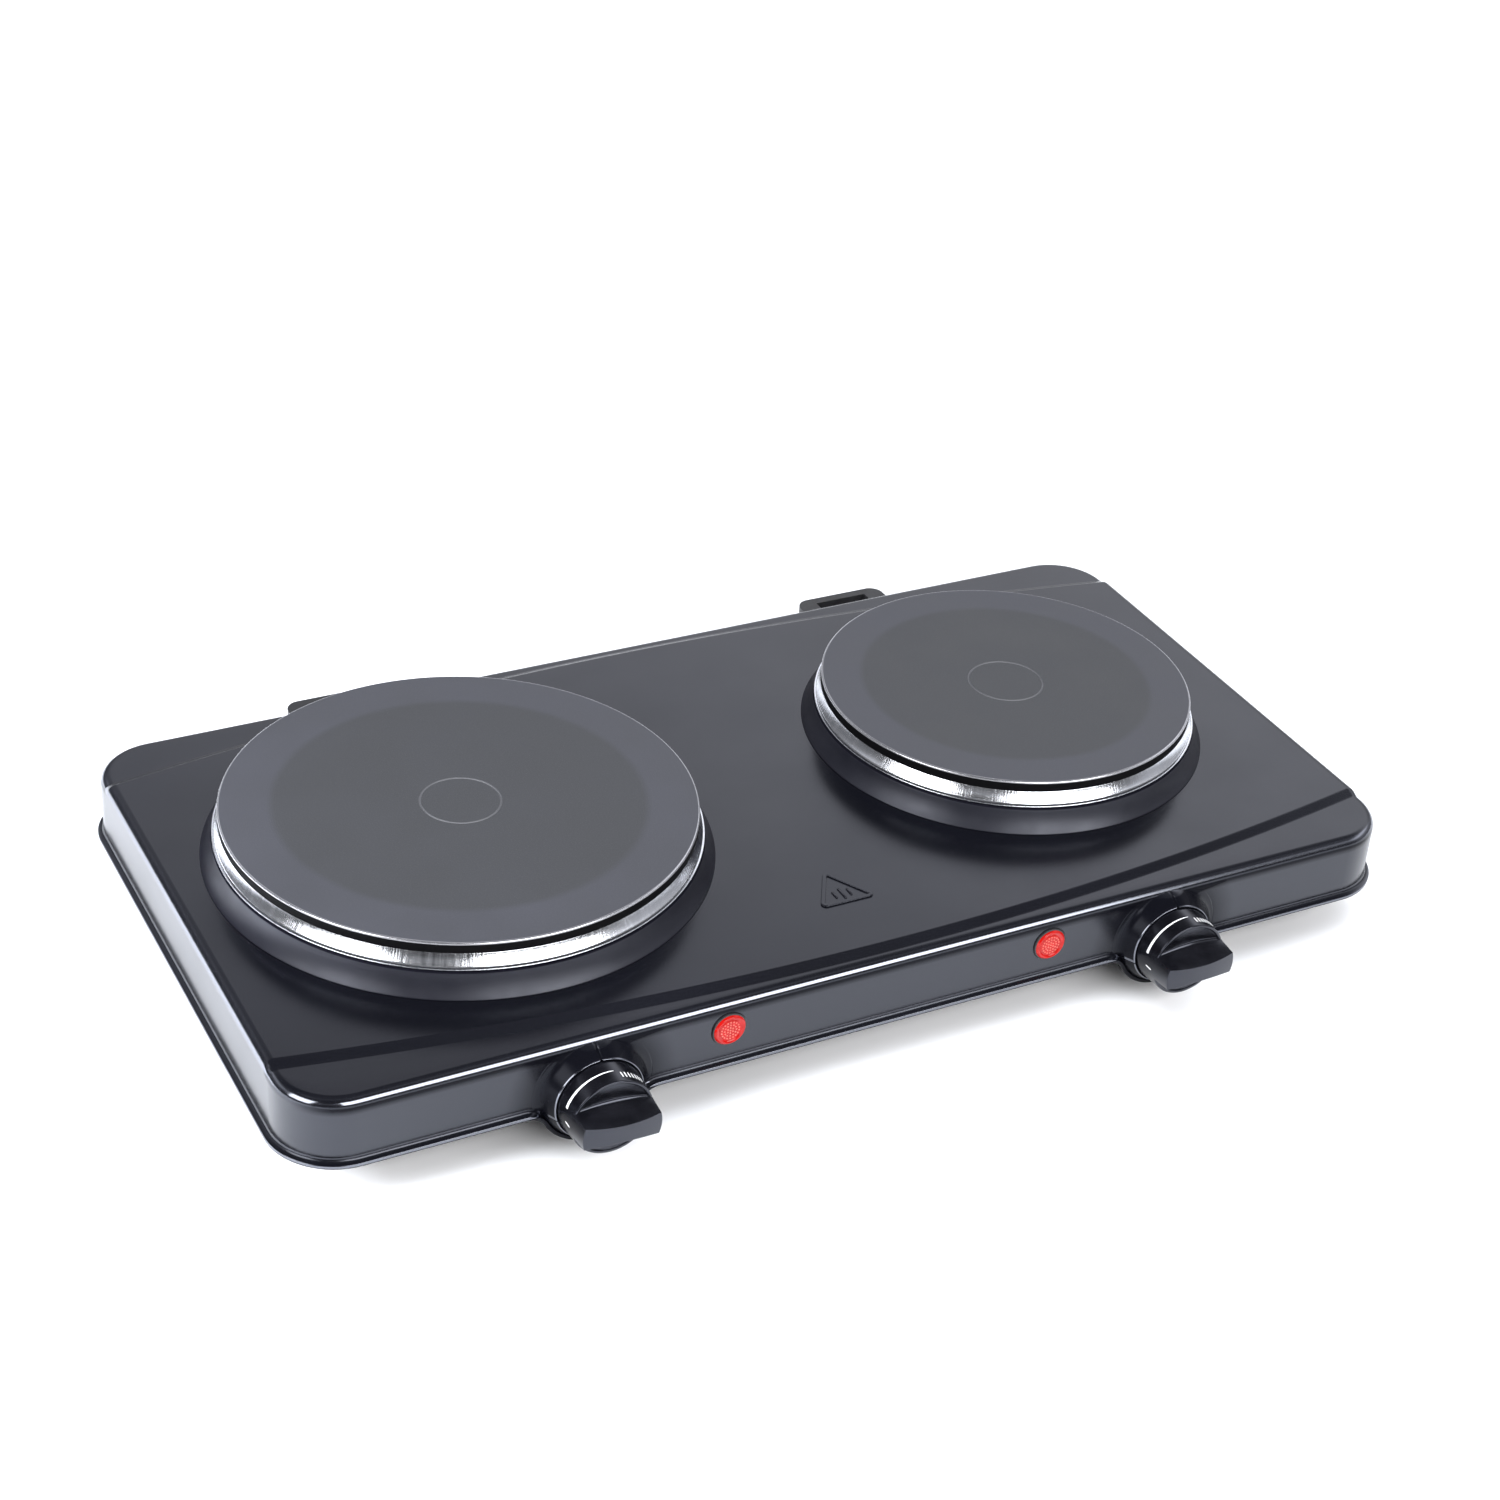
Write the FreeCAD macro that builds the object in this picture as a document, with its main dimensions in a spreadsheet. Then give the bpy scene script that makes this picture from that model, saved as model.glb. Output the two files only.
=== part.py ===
import FreeCAD, Part
import math
import os
import re

import Sketcher

# A free-standing electric hot plate with two cast-iron burners, in millimetres.
# X runs along its length, -Y is the side with the knobs, and Z = 0 is the surface it stands on.
# The origin is under the middle of the whole, so the housing sits a little behind it (SHIFT).

SIZES = {
    # housing
    "body_length": 473.0,
    "body_depth": 246.0,
    "corner_radius": 24.6,
    "lift": 20.0,
    "wall_height": 28.2,
    "panel_rise": 1.6,
    "steel": 1.0,
    "edge_round": 2.5,
    "hem_reach": 2.4,
    "hem_height": 2.0,
    "hem_round": 0.9,
    "lip_width": 9.0,
    "lip_height": 1.8,
    "crease_middle": 117.5,
    "crease_drop": 21.5,
    "crease_slope": 3.7,
    # burners
    "burner_spacing": 246.0,
    "burner_back": 4.5,
    "left_radius": 92.3,
    "right_radius": 77.6,
    "plate_top": 50.5,
    "plate_rim": 4.6,
    "plate_skirt": 12.5,
    "ring_radius": 15.6,
    "trim_top": 45.5,
    "trim_bottom": 39.8,
    "trim_flare": 2.0,
    "trim_sheet": 0.5,
    "collar_flare": 7.0,
    "opening_margin": 12.0,
    "stud_radius": 3.0,
    "bridge_width": 20.0,
    "bridge_sheet": 2.0,
    # knobs and thermostats
    "knob_spacing": 247.6,
    "knob_height": 5.4,
    "boss_base": 20.8,
    "boss_rim": 17.5,
    "boss_reach": 6.7,
    "boss_recess": 1.5,
    "tab_radius": 21.5,
    "tab_fillet": 8.0,
    "knob_back_radius": 16.7,
    "knob_front_radius": 15.9,
    "knob_gap": 0.3,
    "knob_face": 18.0,
    "grip_end": 26.2,
    "grip_crown": 1.5,
    "grip_waist": 3.8,
    "grip_tip": 4.8,
    "grip_root": 7.2,
    "shaft_radius": 3.0,
    "shaft_clearance": 0.05,
    "screw_offset": 11.0,
    "left_turn": 2.75,
    "right_turn": -1.25,
    # lamps
    "lamp_spacing": 138.6,
    "lamp_height": 16.0,
    "lamp_radius": 7.3,
    "lamp_hole": 5.7,
    # underside
    "cover_sheet": 0.8,
    "pan_length": 444.0,
    "pan_depth": 218.0,
    "pan_drop": 8.0,
    "bay_width": 35.0,
    "bay_drop": 6.3,
    "foot_radius": 9.0,
    "foot_x": 190.0,
    "foot_y": 88.0,
    # rear
    "bracket_width": 43.0,
    "bracket_top": 16.0,
    "bracket_reach": 25.0,
    "bracket_thick": 5.0,
    "bracket_bar": 4.5,
    "bushing_height": 14.0,
    "cord_bore": 3.6,
}

X_AXIS = FreeCAD.Vector(1, 0, 0)
Y_AXIS = FreeCAD.Vector(0, 1, 0)
Z_AXIS = FreeCAD.Vector(0, 0, 1)
UPRIGHT = FreeCAD.Rotation()
TO_BACK = FreeCAD.Rotation(X_AXIS, -90)
TO_RIGHT = FreeCAD.Rotation(Y_AXIS, 90)

# Heights above the surface, and the planes of the walls, as formulas of the sheet's values.
HEM = "lift"
SHOULDER = "lift + wall_height"
PANEL = "lift + wall_height + panel_rise"
SHIFT = "(grip_end + grip_crown - bracket_reach) / 2"
FRONT = f"{SHIFT} - body_depth / 2"
BACK = f"{SHIFT} + body_depth / 2"
BURNER_Y = f"{SHIFT} + burner_back"
KNOB_AXIS = "lift + knob_height"
PAN_FLOOR = "lift - pan_drop + cover_sheet"

doc = FreeCAD.newDocument("hot_plate")
sheet = doc.addObject("Spreadsheet::Sheet", "Sizes")
nodes = []


def fill_sheet():
    for row, (alias, size) in enumerate(SIZES.items(), start=1):
        sheet.set(f"A{row}", alias)
        sheet.set(f"B{row}", str(size))
        sheet.setAlias(f"B{row}", alias)
    doc.recompute()


# ---- helpers: every size and place is a formula of the sheet's values ----


def formula(text):
    """The same formula with each alias named by its sheet."""

    def named(word):
        return f"Sizes.{word.group()}" if word.group() in SIZES else word.group()

    return re.sub(r"[a-z_]+", named, str(text))


def value(text):
    return float(sheet.evalExpression(formula(text)))


def bind(thing, **properties):
    for name, text in properties.items():
        thing.setExpression(name, formula(text))


def place(thing, x=0, y=0, z=0, rotation=UPRIGHT):
    thing.Placement = FreeCAD.Placement(FreeCAD.Vector(value(x), value(y), value(z)), rotation)
    for axis, text in (("x", x), ("y", y), ("z", z)):
        thing.setExpression(f"Placement.Base.{axis}", formula(text))
    return thing


def node(thing, name):
    """Marks an object as a finished sub-part of that name."""
    thing.Label = name
    nodes.append(thing)
    return thing


def box(name, length, width, height, x=0, y=0, z=0, rotation=UPRIGHT):
    """A box whose low corner is at x, y, z."""
    solid = doc.addObject("Part::Box", name)
    bind(solid, Length=length, Width=width, Height=height)
    return place(solid, x, y, z, rotation)


def block(name, length, width, height, x=0, y=0, z=0):
    """A box centred on x and y, standing on z."""
    return box(name, length, width, height, f"({x}) - ({length}) / 2", f"({y}) - ({width}) / 2", z)


def rod(name, radius, height, x=0, y=0, z=0, rotation=UPRIGHT):
    solid = doc.addObject("Part::Cylinder", name)
    bind(solid, Radius=radius, Height=height)
    return place(solid, x, y, z, rotation)


def cone(name, start_radius, end_radius, height, x=0, y=0, z=0, rotation=UPRIGHT):
    solid = doc.addObject("Part::Cone", name)
    bind(solid, Radius1=start_radius, Radius2=end_radius, Height=height)
    return place(solid, x, y, z, rotation)


def prism(name, sides, circumradius, height, x=0, y=0, z=0, rotation=UPRIGHT):
    solid = doc.addObject("Part::Prism", name)
    solid.Polygon = sides
    bind(solid, Circumradius=circumradius, Height=height)
    return place(solid, x, y, z, rotation)


def ring(name, radius, section, x=0, y=0, z=0):
    solid = doc.addObject("Part::Torus", name)
    bind(solid, Radius1=radius, Radius2=section)
    return place(solid, x, y, z)


def fuse(name, *solids):
    whole = doc.addObject("Part::MultiFuse", name)
    whole.Shapes = list(solids)
    whole.Refine = True
    return whole


def common(name, *solids):
    whole = doc.addObject("Part::MultiCommon", name)
    whole.Shapes = list(solids)
    return whole


def cut(name, base, *tools):
    whole = doc.addObject("Part::Cut", name)
    whole.Base = base
    whole.Tool = tools[0] if len(tools) == 1 else fuse(f"{name}_tools", *tools)
    return whole


def group(name, *solids):
    """Several separate solids that share one node."""
    whole = doc.addObject("Part::Compound", name)
    whole.Links = list(solids)
    return whole


def rounded(name, base, radius, wanted):
    """Fillets the edges that wanted(edge) picks."""
    doc.recompute()
    result = doc.addObject("Part::Fillet", name)
    result.Base = base
    size = value(radius)
    picked = [(i, size, size) for i, edge in enumerate(base.Shape.Edges, start=1) if wanted(edge)]
    result.Edges = picked
    return result


def origin_plane(body, role):
    return next(feature for feature in body.Origin.OriginFeatures if feature.Role == role)


def new_body(name):
    body = doc.addObject("PartDesign::Body", name)
    body.Label = f"{name}_body"
    return body


def new_sketch(body, name, role, x=0, y=0, z=0):
    """A sketch on one of the body's own planes, moved by x, y, z in the plane's own axes."""
    sketch = body.newObject("Sketcher::SketchObject", name)
    sketch.AttachmentSupport = (origin_plane(body, role), [""])
    sketch.MapMode = "FlatFace"
    for axis, text in (("x", x), ("y", y), ("z", z)):
        sketch.setExpression(f"AttachmentOffset.Base.{axis}", formula(text))
    return sketch


def hold(sketch, kind, *where, size):
    """Adds a dimension and binds it to a formula."""
    number = sketch.addConstraint(Sketcher.Constraint(kind, *where, value(size)))
    name = f"size{number}"
    sketch.renameConstraint(number, name)
    sketch.setExpression(f"Constraints.{name}", formula(size))


def pad(body, sketch, length, backwards=False):
    feature = body.newObject("PartDesign::Pad", f"{sketch.Name}_pad")
    feature.Profile = sketch
    feature.Reversed = backwards
    bind(feature, Length=length)
    doc.recompute()
    return feature


def dress(body, kind, name, size, wanted, **more):
    """A fillet or a chamfer on the edges that wanted(edge) picks."""
    base = body.Tip
    feature = body.newObject(f"PartDesign::{kind}", name)
    edges = [f"Edge{i}" for i, edge in enumerate(base.Shape.Edges, start=1) if wanted(edge)]
    if not edges:
        raise ValueError(f"{name} finds no edges")
    feature.Base = (base, edges)
    for prop, setting in more.items():
        setattr(feature, prop, setting)
    bind(feature, **{"Radius" if kind == "Fillet" else "Size": size})
    doc.recompute()
    if "Invalid" in feature.State or "Error" in feature.State:
        raise ValueError(f"{name} failed")
    return feature


def add_rounded_rectangle(sketch, length, width, radius):
    """Four lines and four corner arcs about the sketch's origin."""
    half_x, half_y, r = value(length) / 2, value(width) / 2, value(radius)
    first = sketch.GeometryCount
    for turn in range(4):
        angle = math.radians(90 * turn)
        along, across = (half_x, half_y) if turn % 2 == 0 else (half_y, half_x)

        def point(u, v):
            x = u * math.cos(angle) - v * math.sin(angle)
            y = u * math.sin(angle) + v * math.cos(angle)
            return FreeCAD.Vector(x, y, 0)

        sketch.addGeometry(Part.LineSegment(point(-along + r, -across), point(along - r, -across)))
        circle = Part.Circle(point(along - r, -across + r), Z_AXIS, r)
        sketch.addGeometry(Part.ArcOfCircle(circle, angle - math.pi / 2, angle))
    for index in range(8):
        here, after = first + index, first + (index + 1) % 8
        sketch.addConstraint(Sketcher.Constraint("Tangent", here, 2, after, 1))
    for index in (3, 5, 7):
        sketch.addConstraint(Sketcher.Constraint("Equal", first + 1, first + index))
    sketch.addConstraint(Sketcher.Constraint("Horizontal", first))
    sketch.addConstraint(Sketcher.Constraint("Symmetric", first + 1, 3, first + 5, 3, -1, 1))
    hold(sketch, "Radius", first + 1, size=radius)
    hold(sketch, "DistanceX", first + 5, 3, first + 1, 3, size=f"({length}) - 2 * ({radius})")
    hold(sketch, "DistanceY", first + 1, 3, first + 5, 3, size=f"({width}) - 2 * ({radius})")


def add_barrel(sketch, length, middle, drop):
    """A plate with straight ends whose front and back edges bow outwards."""
    half, reach, fall = value(length) / 2, value(middle), value(drop)
    side = reach - fall
    places = ((-half, -side), (half, -side), (half, side), (-half, side))
    corners = [FreeCAD.Vector(x, y, 0) for x, y in places]
    front = Part.Arc(corners[0], FreeCAD.Vector(0, -reach, 0), corners[1])
    back = Part.Arc(corners[2], FreeCAD.Vector(0, reach, 0), corners[3])
    sketch.addGeometry(front)
    sketch.addGeometry(Part.LineSegment(corners[1], corners[2]))
    sketch.addGeometry(back)
    sketch.addGeometry(Part.LineSegment(corners[3], corners[0]))
    for index in range(4):
        sketch.addConstraint(Sketcher.Constraint("Coincident", index, 2, (index + 1) % 4, 1))
    sketch.addConstraint(Sketcher.Constraint("Vertical", 1))
    sketch.addConstraint(Sketcher.Constraint("Vertical", 3))
    sketch.addConstraint(Sketcher.Constraint("Symmetric", 0, 1, 2, 1, -1, 1))
    hold(sketch, "DistanceX", 0, 1, 0, 2, size=length)
    hold(sketch, "DistanceY", 1, 1, 1, 2, size=f"2 * (({middle}) - ({drop}))")
    bow = f"((({length}) / 2)^2 + ({drop})^2) / (2 * ({drop}))"
    hold(sketch, "Radius", 0, size=bow)
    hold(sketch, "Radius", 2, size=bow)


def turned(name, outline, x, y, arcs=None):
    """A body of revolution about an upright axis: outline is a loop of (radius, height) formulas.

    arcs gives, for the edge that leaves a corner, its radius; a negative one bows it the other way.
    """
    arcs = arcs or {}
    body = new_body(name)
    sketch = new_sketch(body, f"{name}_outline", "XZ_Plane")
    points = [FreeCAD.Vector(value(r), value(height), 0) for r, height in outline]
    count = len(points)
    for index, start in enumerate(points):
        end = points[(index + 1) % count]
        if index in arcs:
            chord = end - start
            sagitta_side = FreeCAD.Vector(-chord.y, chord.x, 0).normalize()
            radius = value(arcs[index])
            half = chord.Length / 2
            depth = abs(radius) - math.sqrt(radius ** 2 - half ** 2)
            middle = (start + end) * 0.5 + sagitta_side * math.copysign(depth, radius)
            sketch.addGeometry(Part.Arc(start, middle, end))
        else:
            sketch.addGeometry(Part.LineSegment(start, end))
    for index in range(count):
        after = (index + 1) % count
        ends = [sketch.getPoint(index, position) for position in (1, 2)]
        gap = [(end - points[after]).Length for end in ends]
        last = 1 if gap[0] < gap[1] else 2
        heads = [sketch.getPoint(after, position) for position in (1, 2)]
        gap = [(head - points[after]).Length for head in heads]
        first = 1 if gap[0] < gap[1] else 2
        sketch.addConstraint(Sketcher.Constraint("Coincident", index, last, after, first))
        radius_text, height_text = outline[after]
        if value(radius_text) == 0:
            sketch.addConstraint(Sketcher.Constraint("PointOnObject", after, first, -2))
        else:
            hold(sketch, "DistanceX", -1, 1, after, first, size=radius_text)
        hold(sketch, "DistanceY", -1, 1, after, first, size=height_text)
        if index in arcs:
            hold(sketch, "Radius", index, size=f"abs({arcs[index]})")
    feature = body.newObject("PartDesign::Revolution", f"{name}_turn")
    feature.Profile = sketch
    feature.ReferenceAxis = (sketch, ["V_Axis"])
    feature.Angle = 360
    doc.recompute()
    return place(body, x, y, 0)


def edge_at(edge, **wanted):
    """True where both ends of an edge are at the wanted x, y or z."""
    return all(
        abs(abs(getattr(vertex.Point, axis)) - abs(level)) < 0.02
        for axis, level in wanted.items()
        for vertex in edge.Vertexes
    )


# ---- the pressed steel housing ----

INSIDE = ("body_length - 2 * steel", "body_depth - 2 * steel", "corner_radius - steel")


def add_tab_outline(sketch):
    """The rounded tab that the front wall's hem runs down and round, about the knob's axis."""
    big, small, above = value("tab_radius"), value("tab_fillet"), value("knob_height")
    reach = math.sqrt((big + small) ** 2 - (above + small) ** 2)
    top = value("hem_height") - above
    left_centre = FreeCAD.Vector(-reach, -above - small, 0)
    right_centre = FreeCAD.Vector(reach, -above - small, 0)
    lean = math.atan2(above + small, reach)
    left = Part.ArcOfCircle(Part.Circle(left_centre, Z_AXIS, small), lean, math.pi / 2)
    round_knob = Part.Circle(FreeCAD.Vector(), Z_AXIS, big)
    bottom = Part.ArcOfCircle(round_knob, math.pi + lean, 2 * math.pi - lean)
    right = Part.ArcOfCircle(Part.Circle(right_centre, Z_AXIS, small), math.pi / 2, math.pi - lean)
    high_left, high_right = FreeCAD.Vector(-reach, top, 0), FreeCAD.Vector(reach, top, 0)
    low_left, low_right = FreeCAD.Vector(-reach, -above, 0), FreeCAD.Vector(reach, -above, 0)
    sketch.addGeometry([left, bottom, right])
    sketch.addGeometry([Part.LineSegment(low_right, high_right), Part.LineSegment(high_right, high_left)])
    sketch.addGeometry(Part.LineSegment(high_left, low_left))
    for pair in ((0, 1, 1, 1), (1, 2, 2, 2)):
        sketch.addConstraint(Sketcher.Constraint("Tangent", *pair))
    for pair in ((2, 1, 3, 1), (3, 2, 4, 1), (4, 2, 5, 1), (5, 2, 0, 2)):
        sketch.addConstraint(Sketcher.Constraint("Coincident", *pair))
    sketch.addConstraint(Sketcher.Constraint("Coincident", 1, 3, -1, 1))
    sketch.addConstraint(Sketcher.Constraint("Equal", 0, 2))
    sketch.addConstraint(Sketcher.Constraint("Horizontal", 4))
    for line in (3, 5):
        sketch.addConstraint(Sketcher.Constraint("Vertical", line))
    for arc, end in ((0, 2), (2, 1)):
        sketch.addConstraint(Sketcher.Constraint("Vertical", arc, 3, arc, end))
        hold(sketch, "DistanceY", arc, end, -1, 1, size="knob_height")
    hold(sketch, "Radius", 1, size="tab_radius")
    hold(sketch, "Radius", 0, size="tab_fillet")
    hold(sketch, "DistanceY", 4, 1, -1, 1, size="knob_height - hem_height")


def tray_block(name, height):
    """The housing's outline as a solid block with its top edge rounded."""
    body = new_body(name)
    sketch = new_sketch(body, f"{name}_outline", "XY_Plane", y=SHIFT, z=HEM)
    add_rounded_rectangle(sketch, "body_length", "body_depth", "corner_radius")
    pad(body, sketch, height)
    top = value(f"lift + {height}")
    dress(body, "Fillet", f"{name}_round", "edge_round", lambda edge: edge_at(edge, z=top))
    return body


def barrel_block(name, inset, height):
    """The bowed raised panel as a solid block with its two long edges sloped."""
    body = new_body(name)
    sketch = new_sketch(body, f"{name}_outline", "XY_Plane", y=SHIFT, z=HEM)
    add_barrel(sketch, f"body_length - 2 * ({inset})", f"crease_middle - ({inset})", "crease_drop")
    pad(body, sketch, height)
    top = value(f"lift + {height}")
    dress(
        body, "Chamfer", f"{name}_crease", "crease_slope",
        lambda edge: edge_at(edge, z=top) and edge.Curve.TypeId == "Part::GeomCircle",
        ChamferType="Two distances", Size2=value("panel_rise"), FlipDirection=True,
    )
    return body


def hollow_block(name, height):
    """The space inside the walls, up to a height above the hem."""
    body = new_body(name)
    sketch = new_sketch(body, f"{name}_outline", "XY_Plane", y=SHIFT, z=HEM)
    add_rounded_rectangle(sketch, *INSIDE)
    pad(body, sketch, height)
    return body


def rim_of(name, bottom, height, outside, inside):
    """A band between two rounded rectangles."""
    body = new_body(name)
    sketch = new_sketch(body, f"{name}_outline", "XY_Plane", y=SHIFT, z=bottom)
    add_rounded_rectangle(sketch, *outside)
    add_rounded_rectangle(sketch, *inside)
    pad(body, sketch, height)
    return body


def hem_tab(side, x):
    """The tab of the hem that runs down and round under one knob."""
    body = new_body(f"{side}_tab_plate")
    sketch = new_sketch(
        body, f"{side}_tab", "XZ_Plane", x=x, y=KNOB_AXIS, z=f"-({FRONT}) - steel * 0.6",
    )
    add_tab_outline(sketch)
    pad(body, sketch, "hem_reach + steel * 0.6")
    return body


def housing_solids():
    """The pressed top's walls: a rounded tray with a bowed raised panel, a hem and an inward lip."""
    panel = common(
        "raised_panel",
        tray_block("high_tray", "wall_height + panel_rise"),
        barrel_block("panel_barrel", "0", "wall_height + panel_rise"),
    )
    outside = fuse("tray_outside", tray_block("low_tray", "wall_height"), panel)
    raised_hollow = common(
        "raised_hollow",
        hollow_block("high_hollow", "wall_height + panel_rise - steel"),
        barrel_block("hollow_barrel", "2.5", "wall_height + panel_rise - steel"),
    )
    walls = cut("walls", outside, hollow_block("low_hollow", "wall_height - steel"), raised_hollow)
    narrow = "steel + lip_width"
    lip_inside = (
        f"body_length - 2 * ({narrow})", f"body_depth - 2 * ({narrow})", f"corner_radius - ({narrow})",
    )
    lip = rim_of("lip", "lift + lip_height", "steel", INSIDE, lip_inside)
    hem_outside = (
        "body_length + 2 * hem_reach", "body_depth + 2 * hem_reach", "corner_radius + hem_reach",
    )
    hem = rim_of("hem", HEM, "hem_height", hem_outside, INSIDE)
    tabs = [hem_tab("left", "-knob_spacing / 2"), hem_tab("right", "knob_spacing / 2")]
    return [walls, lip, hem, *tabs]


def boss_pieces(side, x):
    """What is added to and taken from the front wall round one knob."""
    spread = "(boss_base - boss_rim) / boss_reach"
    solid = cone(
        f"{side}_boss", f"boss_base + ({spread}) * steel", "boss_rim", "boss_reach + steel",
        x, f"{FRONT} + steel", KNOB_AXIS, FreeCAD.Rotation(X_AXIS, 90),
    )
    floor = "boss_reach - boss_recess - steel"
    hollow = cone(
        f"{side}_boss_hollow",
        f"boss_base - steel + ({spread}) * steel", "boss_rim - 0.7", f"{floor} + steel + 0.5",
        x, f"{FRONT} + steel + 0.5", KNOB_AXIS, FreeCAD.Rotation(X_AXIS, 90),
    )
    recess = rod(
        f"{side}_boss_recess", "boss_rim - 0.4", "boss_recess + 1",
        x, f"{FRONT} - boss_reach - 1", KNOB_AXIS, TO_BACK,
    )
    hole = rod(f"{side}_shaft_hole", 5.0, 8, x, f"{FRONT} - boss_reach", KNOB_AXIS, TO_BACK)
    slope = math.degrees(math.atan2(value("boss_base - boss_rim"), value("boss_reach")))
    index = box(
        f"{side}_index", 1.2, 12, 3,
        f"({x}) - 0.6", f"{FRONT} - boss_reach - 1", f"{KNOB_AXIS} + boss_rim - 1.2",
        FreeCAD.Rotation(X_AXIS, slope),
    )
    screws = []
    for number, sign in enumerate(("-", "+"), start=1):
        place_x = f"({x}) {sign} screw_offset"
        screws.append(
            rod(f"{side}_boss_hole{number}", 1.6, 8, place_x, f"{FRONT} - boss_reach", KNOB_AXIS, TO_BACK)
        )
        screws.append(
            cone(
                f"{side}_boss_sink{number}", 2.7, 1.6, "steel",
                place_x, f"{FRONT} - boss_reach + boss_recess", KNOB_AXIS, TO_BACK,
            )
        )
    return solid, [hollow, recess, hole, index, *screws]


def emblem():
    """A plain raised triangle with three short ribs, on the panel in front of the burners."""
    back = FreeCAD.Rotation(Z_AXIS, 90)
    outer = prism("emblem_outer", 3, 14.2, 1, 0, f"{SHIFT} - 79", f"{PANEL} - 0.5", back)
    inner = prism("emblem_inner", 3, 11.8, 3, 0, f"{SHIFT} - 79", f"{PANEL} - 1.5", back)
    outline = cut("emblem_outline", outer, inner)
    ribs = [
        block(f"emblem_rib{number}", 1.1, length, 0.9, x, f"{SHIFT} - 80.2", f"{PANEL} - 0.5")
        for number, (x, length) in enumerate(((-3.2, 4.5), (0, 7), (3.2, 4.5)), start=1)
    ]
    return [outline, *ribs]


def top_housing():
    shell = housing_solids()
    added, removed = [], []
    for side, x in (("left", "-knob_spacing / 2"), ("right", "knob_spacing / 2")):
        solid, tools = boss_pieces(side, x)
        added.append(solid)
        removed += tools
        removed.append(
            block(
                f"{side}_lip_gap", "bay_width + 4", 16, 3,
                x, f"{FRONT} + steel + 8", "lift + lip_height - 1",
            )
        )
        removed.append(
            rod(
                f"{side}_burner_opening", f"{side}_radius - opening_margin", 10,
                ("-" if side == "left" else "") + "burner_spacing / 2", BURNER_Y, f"{PANEL} - 5",
            )
        )
        lamp_x = ("-" if side == "left" else "") + "lamp_spacing / 2"
        removed.append(
            rod(f"{side}_lamp_hole", "lamp_hole", 6, lamp_x, f"{FRONT} - 3", "lift + lamp_height", TO_BACK)
        )
        for number, sign in enumerate(("-", "+"), start=1):
            screw_x = f"{'-' if side == 'left' else ''}burner_spacing / 2 {sign} 17"
            removed.append(
                rod(
                    f"{side}_bracket_hole{number}", 1.6, 6,
                    screw_x, f"{BACK} - 3", "lift + bracket_top - 2.5", TO_BACK,
                )
            )
    removed.append(rod("bushing_hole", 6.0, 6, 0, f"{BACK} - 3", "lift + bushing_height", TO_BACK))
    removed.append(rod("earth_hole", 2.05, 6, 60, f"{BACK} - 3", "lift + bushing_height", TO_BACK))
    for number, (x, y) in enumerate(cover_screw_places(), start=1):
        removed.append(rod(f"lip_hole{number}", 1.6, 3, x, y, "lift + lip_height - 1"))
    whole = fuse("housing_whole", *shell, *added, *emblem())
    return node(cut("housing", whole, *removed), "top_housing")


# ---- one burner: plate, element, trim, collar and what holds them ----


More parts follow.
